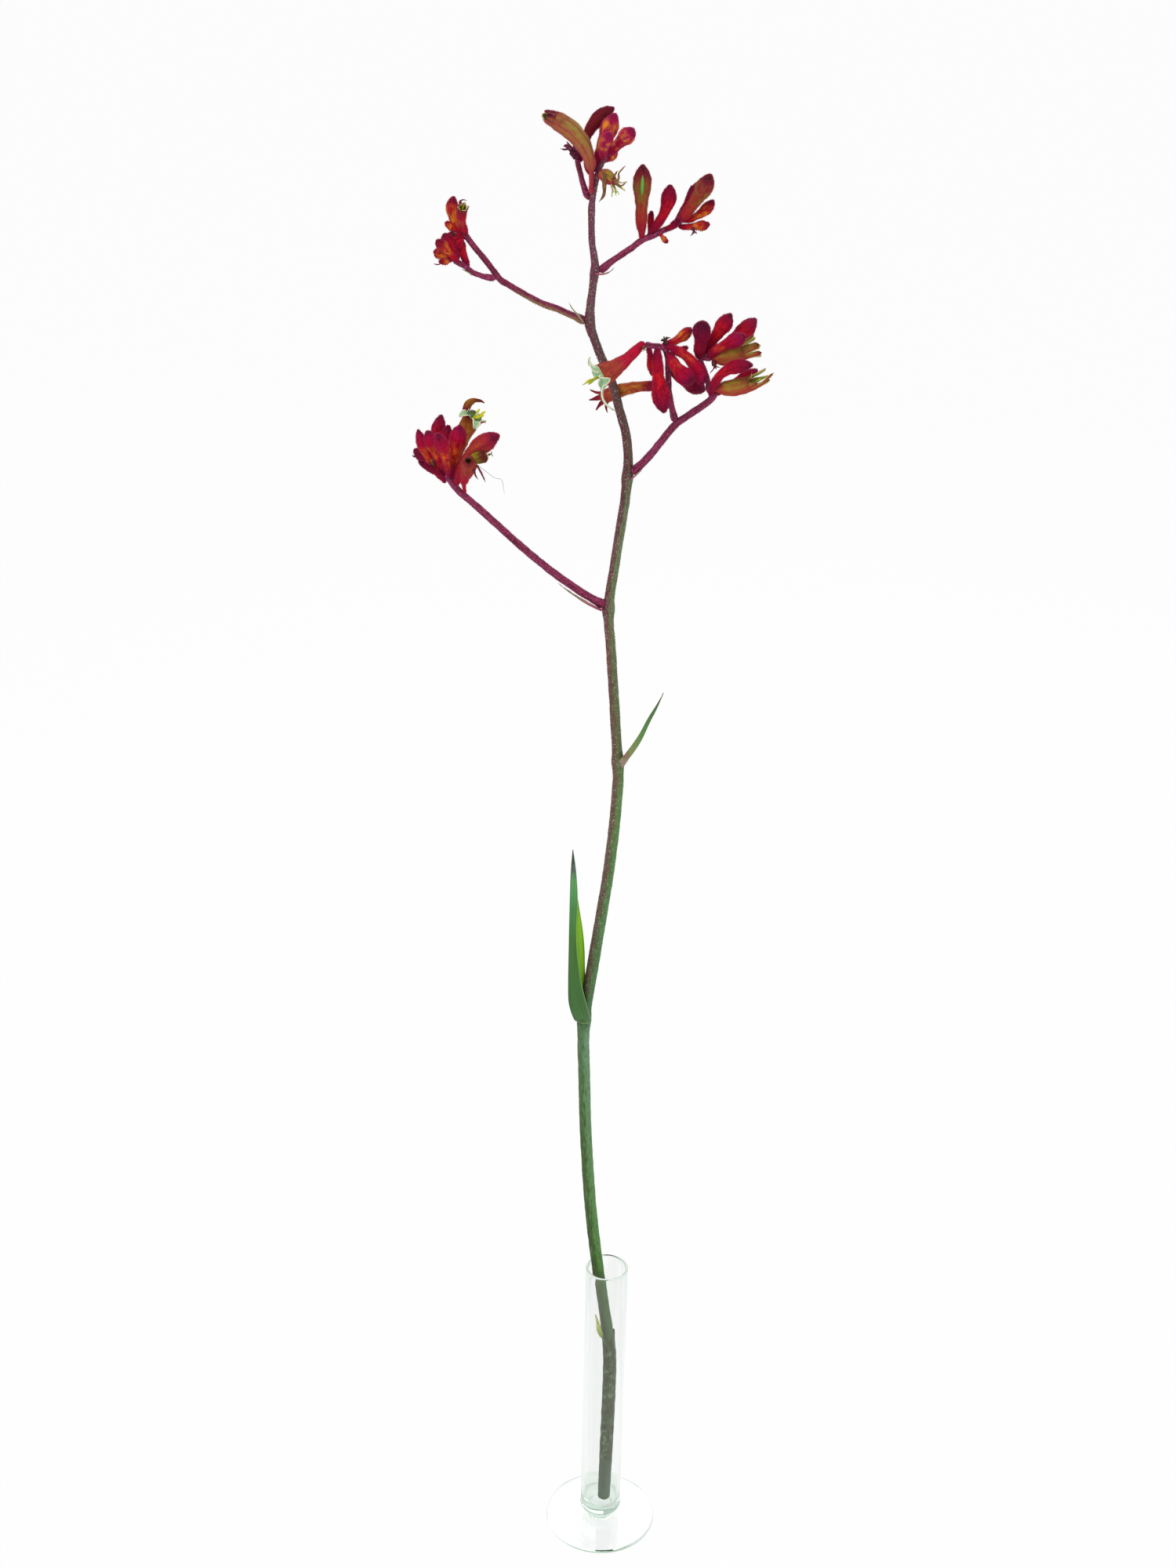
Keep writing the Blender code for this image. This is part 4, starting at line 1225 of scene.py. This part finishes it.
# What make_flower takes for each flower.
FLOWERS = {
    "middle_right_flower_1": dict(
        velvet="red_tube", lining="petal_lining",
        petals=((8.2, 172, LEAFY), (11, 125, POINTED), (4.5, 110, LEAFY), (4, 90, LEAFY),
                (4.5, 110, LEAFY), (14.5, 130, POINTED)),
        toward=(0, -1, -0.1), opens_at=0.98, profile=WIDENING_TUBE, bare=0.1,
        stamens=((8, (0, -1, 1.2), 0.9, ANTHER), (9, (0.3, 1, 0.4), 0.8, ANTHER),
                 (7.5, (0.5, 0.6, -1), 0.9, ANTHER), (6.5, (-0.6, -1.2, -0.4), 0.8, FILAMENT),
                 (10, (0, 0, 0.1), 0.6, FILAMENT))),
    "lower_left_flower_1": dict(
        velvet="brown_tube", lining="petal_lining",
        petals=((6.5, 172, LEAFY), (6.5, 172, LEAFY), (3, 60, BLUNT), (2.5, -60, BLUNT),
                (2.5, -70, BLUNT), (2.5, 10, BLUNT)),
        toward=(-0.45, -0.66, 0.48), opens_at=0.82, girth=1.1, nod=(0.9, -2.8, 0.2),
        nods_from=0.72, profile=WIDENING_TUBE,
        stamens=((3, (1.4, 0, 1.8), 1.2, ANTHER), (3, (4.2, 0, 0.6), 1.2, ANTHER),
                 (3, (3.6, 0, -1.2), 1.2, ANTHER), (3, (1.6, 0, -2.2), 1.1, ANTHER))),
    "crown_flower_1": dict(
        velvet="crown_tube", hair="rosy_wool",
        petals=(5.0, -30, BLUNT, 0.25), toward=(0, -0.4, 1), opens_at=0.9,
        profile=STALKED_TUBE, bears="main_stem",
        claws=((0.9, (2.6, -0.6, 3.0), (-2.4, -1.5, 2.2), (-3.6, -1.5, 1.2)),
               (0.8, (0.8, -2.2, -0.4), (-2.2, -1.5, 0.2), (-3.4, -1.5, -0.6)),
               (0.9, (-2.4, -2.6, 2.8), (-0.4, -3.4, 2.4), (0.8, -3.6, 0.9)))),
    "crown_flower_2": dict(
        velvet="old_flower", hair="rosy_wool", claw="dried_olive_petal",
        petals=((6, 60, POINTED), (3, 30, POINTED), (2.5, 20, POINTED), (5, 40, POINTED),
                (4, 60, POINTED), (6, 50, POINTED)),
        toward=(1, 0, 0.5), opens_at=0.72, profile=GLOBE, nod=(1.2, 0.4, -0.4),
        nods_from=0.3, girth=0.84, ragged=0.6,
        stamens=((4, (-2.6, -0.6, -4.4), 0.6, FILAMENT), (3.5, (-0.4, 0.5, -4.2), 0.5, FILAMENT),
                 (3.8, (0.8, 0.2, -3.6), 0.5, FILAMENT)),
        claws=((1.5, (-0.4, -1, 0.9), (2.2, -1.5, 1.6), (2.4, -1.6, 4.4), (5.4, -1.2, 7.8)),
               (1.4, (-0.6, -1, 1.2), (0.4, -1.6, 3.2), (1.8, -1.8, 5.6)),
               (1.6, (0.0, -1.2, 0.4), (3.4, -1.4, -1.2), (5.8, -1.2, 0.4)),
               (2.0, (-4.4, -0.2, 4.4), (-4.0, -1.8, -4.6), (-6.4, -2.2, -8.6)))),
    "middle_right_flower_2": dict(
        velvet="orange_tube", lining="petal_lining",
        petals=(7.0, 60, POINTED, 0.2), toward=(0, -0.4, 1), opens_at=0.88),
    "middle_right_flower_3": dict(
        velvet="olive_pod",
        petals=((8.5, -6, BLUNT), (8.5, 8, BLUNT), (8, 22, BLUNT), (9, 14, BLUNT),
                (8, 8, BLUNT), (8, 22, BLUNT)),
        toward=(0, -1, 0.35), opens_at=0.62, profile=POD,
        stamens=((4, (0.5, 0.5, 0.5), 0.7, FILAMENT),)),
    "middle_right_flower_4": dict(
        velvet="olive_pod",
        petals=((13.5, -34, BLUNT), (10, -16, BLUNT), (9.5, 6, POINTED), (9.5, 12, BLUNT),
                (4.5, 60, POINTED), (5, 10, POINTED)),
        toward=(0, -0.5, -1), opens_at=0.58, profile=POD,
        stamens=((6, (0.3, -0.5, 0.9), 0.9, FILAMENT), (5, (-0.4, 0.4, -0.3), 0.8, FILAMENT)),
        claws=((0.7, (-1.4, -2.6, 1.2), (0.6, -3.2, 3.2), (2.2, -3.2, 2.2),
                (1.8, -3.2, 0.2)),)),
    "lower_left_flower_2": dict(
        velvet="red_tube",
        petals=(2.0, -85, BLUNT, 0.15), toward=(0, -1, 1), nod=(-4.2, -0.8, -0.6),
        profile=STALKED_TUBE,
        claws=((1.1, (2.4, 0.6, -1.6), (2.4, 0.2, -3.6), (3.2, 0, -6.6), (4.4, 0, -8.4)),
               (1.4, (3.4, 0.6, -1.4), (4.8, 0.2, -3.4), (6.4, 0, -6.4), (7.8, 0, -9.8)))),
    "upper_left_flower_1": dict(
        velvet="crimson_tube",
        petals=((2.6, 40, BLUNT), (3.4, 20, BLUNT), (4.4, -35, BLUNT), (4.6, -60, BLUNT),
                (4.4, -35, BLUNT), (3.0, 30, BLUNT)),
        toward=(0.3, -1, 0), opens_at=0.84, stamens=((2.5, (0.4, 0.2, 0.2), 0.6, ANTHER),),
        claws=((1.1, (-1.2, 0.6, 2.4), (-0.6, -0.2, 4.0), (1.0, -1, 4.6),
                (2.6, -1.2, 4.2)),)),
}

# Each tiny bud's bearer, how far back from its end it sits, its reach, width and velvet.
SMALL_BUDS = {
    "crown_small_bud_1": ("main_stem", 4, (6, 8, 3), 4, "spotted"),
    "crown_small_bud_2": ("main_stem", 14, (-5, 8, 7), 3.5, "crimson"),
    "upper_right_small_bud_1": ("upper_right_branch", 18, (1, 5, 11), 3, "crimson"),
    "upper_right_small_bud_2": ("upper_right_branch", 11, (4, -3, -4), 2.5, "orange"),
    "upper_right_small_bud_3": ("upper_right_branch", 9, (7.5, -3, 6), 3.2, "wine"),
    "upper_left_small_bud_1": ("upper_left_branch", 0.5, (-8, 5, 4), 3.5, "orange"),
    "upper_left_small_bud_2": ("upper_left_twig", 0.5, (-6, -6, 0), 3, "orange"),
    "middle_right_small_bud_1": ("middle_right_inner_twig", 13, (10, 13, 0), 3, "crimson"),
    "middle_right_small_bud_2": ("middle_right_inner_twig", 3, (4, 12, -17), 5, "crimson"),
    "upper_left_small_bud_3": ("upper_left_branch", 0.5, (-7.5, -3, -1.5), 4.6, "flushed"),
    "upper_left_small_bud_4": ("upper_left_branch", 1.0, (-9.5, -2, -5.0), 4.6, "orange"),
    "upper_left_small_bud_5": ("upper_left_branch", 1.5, (-4.5, -4, -6.0), 4.0, "crimson"),
    "lower_left_small_bud_1": ("lower_left_branch", 1.5, (-13, -6, 9), 3, "wine"),
}


def make_small_pieces(lines, finishes):
    """Tiny buds, withered flowers, bracts and threads, seated on what bears them."""
    dice = random.Random(5)

    def grow(make, name, skins, *form, **more):
        make(name, [finishes[skin] for skin in skins.split()], dice, *form, **more)

    for name, (bearer, back, tip, wide, skin) in SMALL_BUDS.items():
        grow(make_small_bud, name, skin + "_velvet pink_wool", lines[bearer][0], back, tip,
             wide)
    end = lines["crown_twig"][0][-1]
    grow(make_tuft, "crown_bud_5_withered", "withered_wine_flower", 7, 9.0,
         (-0.42, -0.3, 0.86), end - Vector((0, 0, 0.8)), ("crown_bud_5",))
    for name, skin, petals, size, ahead, seat in (
            ("upper_left_withered", "dried_petal", 5, 4.6, (-0.7, -0.6, 0.3),
             (-82.2, 12.2, 754.6)),
            ("middle_right_withered_1", "withered_flower", 6, 5.0, (-0.2, -0.5, 0.9),
             (14.5, -17.8, 713.2)),
            ("middle_right_withered_2", "dried_petal", 5, 6.0, (0.3, -0.6, -0.8),
             (36.4, -13.8, 705.7)),
            ("middle_right_withered_3", "dried_olive_petal", 5, 3.6, (0.4, -0.9, 0.2),
             (3.8, -23.7, 712.9)),
            ("lower_left_withered_1", "withered_wine_flower", 6, 5.6, (-0.3, -0.8, -0.6),
             (-98.4, -4.0, 657.6)),
            ("lower_left_withered_2", "dried_olive_petal", 5, 5.0, (-0.2, -0.7, -0.8),
             (-91.9, -18.5, 657.7))):
        grow(make_tuft, name, skin, petals, size, ahead, seat)
    grow(make_slit, "upper_right_bud_1_slit", "parted_petal", lines, "upper_right_bud_1", 0.56,
         0.9, 1.7)
    grow(make_strand, "lower_left_capsule", "capsule_skin", "capsule", 5.8, (-73.5, -29, 661.4),
         (-71, -30, 661.8), (-68, -31, 662.6), (-65.6, -31, 663.4), slot="flower")
    grow(make_tuft, "lower_left_capsule_tip", "withered_flower", 4, 2.6, (1, 0, 0.3),
         (-65.8, -31, 663.6))
    grow(make_strand, "lower_left_thread", "dry_thread", "thread", 0.3, (-71.6, -31, 659.6),
         (-66, -32, 655.6), (-62.6, -32.4, 653.2), (-59.4, -32.6, 652.4), (-58.4, -32.6, 648),
         (-58.0, -32.6, 645.2), slot="flower")
    grow(make_strand, "lower_left_bract_blade", "bract_blade", "bract", 4.6, (-10, -1.2, 577.5),
         (-13, -2.5, 579), (-16.5, -5, 581.5), (-23, -8, 586.5), (-29.5, -9.5, 591.5),
         (-33.5, -10, 595), nodes=("lower_left_bract",))
    grow(make_strand, "upper_left_bract_blade", "green_bract_blade", "bract", 2.8,
         (-22.1, -1.5, 717.6), (-23.6, -1.5, 719.4), (-25.7, -1.1, 721.8), (-28.7, -0.5, 725),
         (-30.5, -0.1, 728.4), nodes=("upper_left_bract",))
    grow(make_strand, "lower_left_flower_1_hood", "brown_tube_velvet", "bract", 6.2,
         (-77.5, -5, 676), (-76.8, -5.6, 679), (-75.2, -6, 681.5), (-72.8, -6, 682.3),
         (-70.2, -5.6, 681.8), (-68.5, -5, 680.6), slot="flower")
    grow(make_strand, "middle_right_bract_blade", "bract_blade", "bract", 2.6, (0.4, -2, 644.4),
         (3.2, -4, 647.7), (5, -5, 650), (6, -6, 651.5))
    grow(make_strand, "upper_right_bract_blade", "bract_blade", "bract", 2.6, (-18.6, 0.5, 741.1),
         (-16.4, -1.5, 741.1), (-13.4, -2.5, 741.6), (-11, -2.1, 742.9), (-9.6, -1.5, 744.3))
    grow(make_tuft, "upper_right_withered", "withered_wine_flower", 5, 4.2, (0.2, -0.4, -0.9),
         (25.8, 11.0, 760.9))
    grow(make_strand, "twig_thread", "dried_petal", "thread", 0.7, (-88.3, 10.6, 744.5),
         (-89.1, 8.8, 742.7), (-90.9, 8.4, 741.7), (-92.9, 8.8, 742.1), slot="flower")
    grow(make_strand, "upper_leaf_bud", "bract_blade", "bract", 2.0, (1.4, -4.4, 500.5),
         (2.2, -5.8, 503), (2.9, -6.2, 505.6))
    grow(make_collar, "leaf_base_collar", "leaf_base_skin", lines, 340.2, 341.6, 0.34)
    grow(make_strand, "twig_bract_blade", "green_bract_blade", "bract", 1.6, (-74.7, 10.9, 736.7),
         (-77, 9.9, 738.3), (-80.3, 9.9, 739.7))
    grow(make_strand, "vase_sprig_1", "pale_bract_blade", "bract", 3.0, (-1.2, 0, 133),
         (-3.1, -3, 139.6), (-4.4, -5, 147.3), (-5.8, -6, 154.5), turn=1.2)
    grow(make_strand, "vase_sprig_2", "pale_bract_blade", "bract", 2.4, (-1.6, -1, 136),
         (-3.4, -4, 141.0), (-4.2, -5.6, 145.6), (-3.6, -6, 150.5), turn=0.6)


def build():
    """The vase and the whole plant."""
    skins = [clear_glass(), stem_skin()]
    skins += [make(name, *look) for make, looks in LOOKS.items() for name, look in looks.items()]
    finishes = {skin.name: skin for skin in skins}
    lines = {name: cad_line(name) for name in RODS}
    line, radii = lines["main_stem"]
    if line[0].z > line[-1].z:
        lines["main_stem"] = (line[::-1], radii[::-1])
    branches = [name for name in RODS if name != "main_stem"]
    for name in branches:
        lines[name] = from_its_base(name, *lines[name], lines)

    make_vase(finishes["clear_glass"])
    make_main_stem(lines, [finishes["stem_skin"], finishes["stem_wool"]])
    make_sheath(lines, [finishes["stem_sheath_skin"]])
    dice = random.Random(11)
    for name in branches:
        skin = "olive_branch_skin" if name == "upper_left_branch" else "branch_skin"
        make_branch(name, lines, [finishes[skin], finishes["magenta_wool"]], dice)
    for cluster, skins in BUDS.items():
        for number, skin in enumerate(skins.split(), 1):
            hair = {"olive": "red_wool", "spotted": "rosy_wool"}.get(skin, "pink_wool")
            make_bud(f"{cluster}_bud_{number}", lines,
                     [finishes[skin + "_velvet"], finishes[hair]])
    dice = random.Random(23)
    for name, form in FLOWERS.items():
        make_flower(name, lines, finishes, dice, **form)
    for name, (edges, skins, node, places, thick, shift) in LEAVES.items():
        make_blade(name, *(strap(edge, places) for edge in edges),
                   [finishes[skin] for skin in skins], (node,), thick, shift)
    make_small_pieces(lines, finishes)


set_camera()
build()
set_studio()
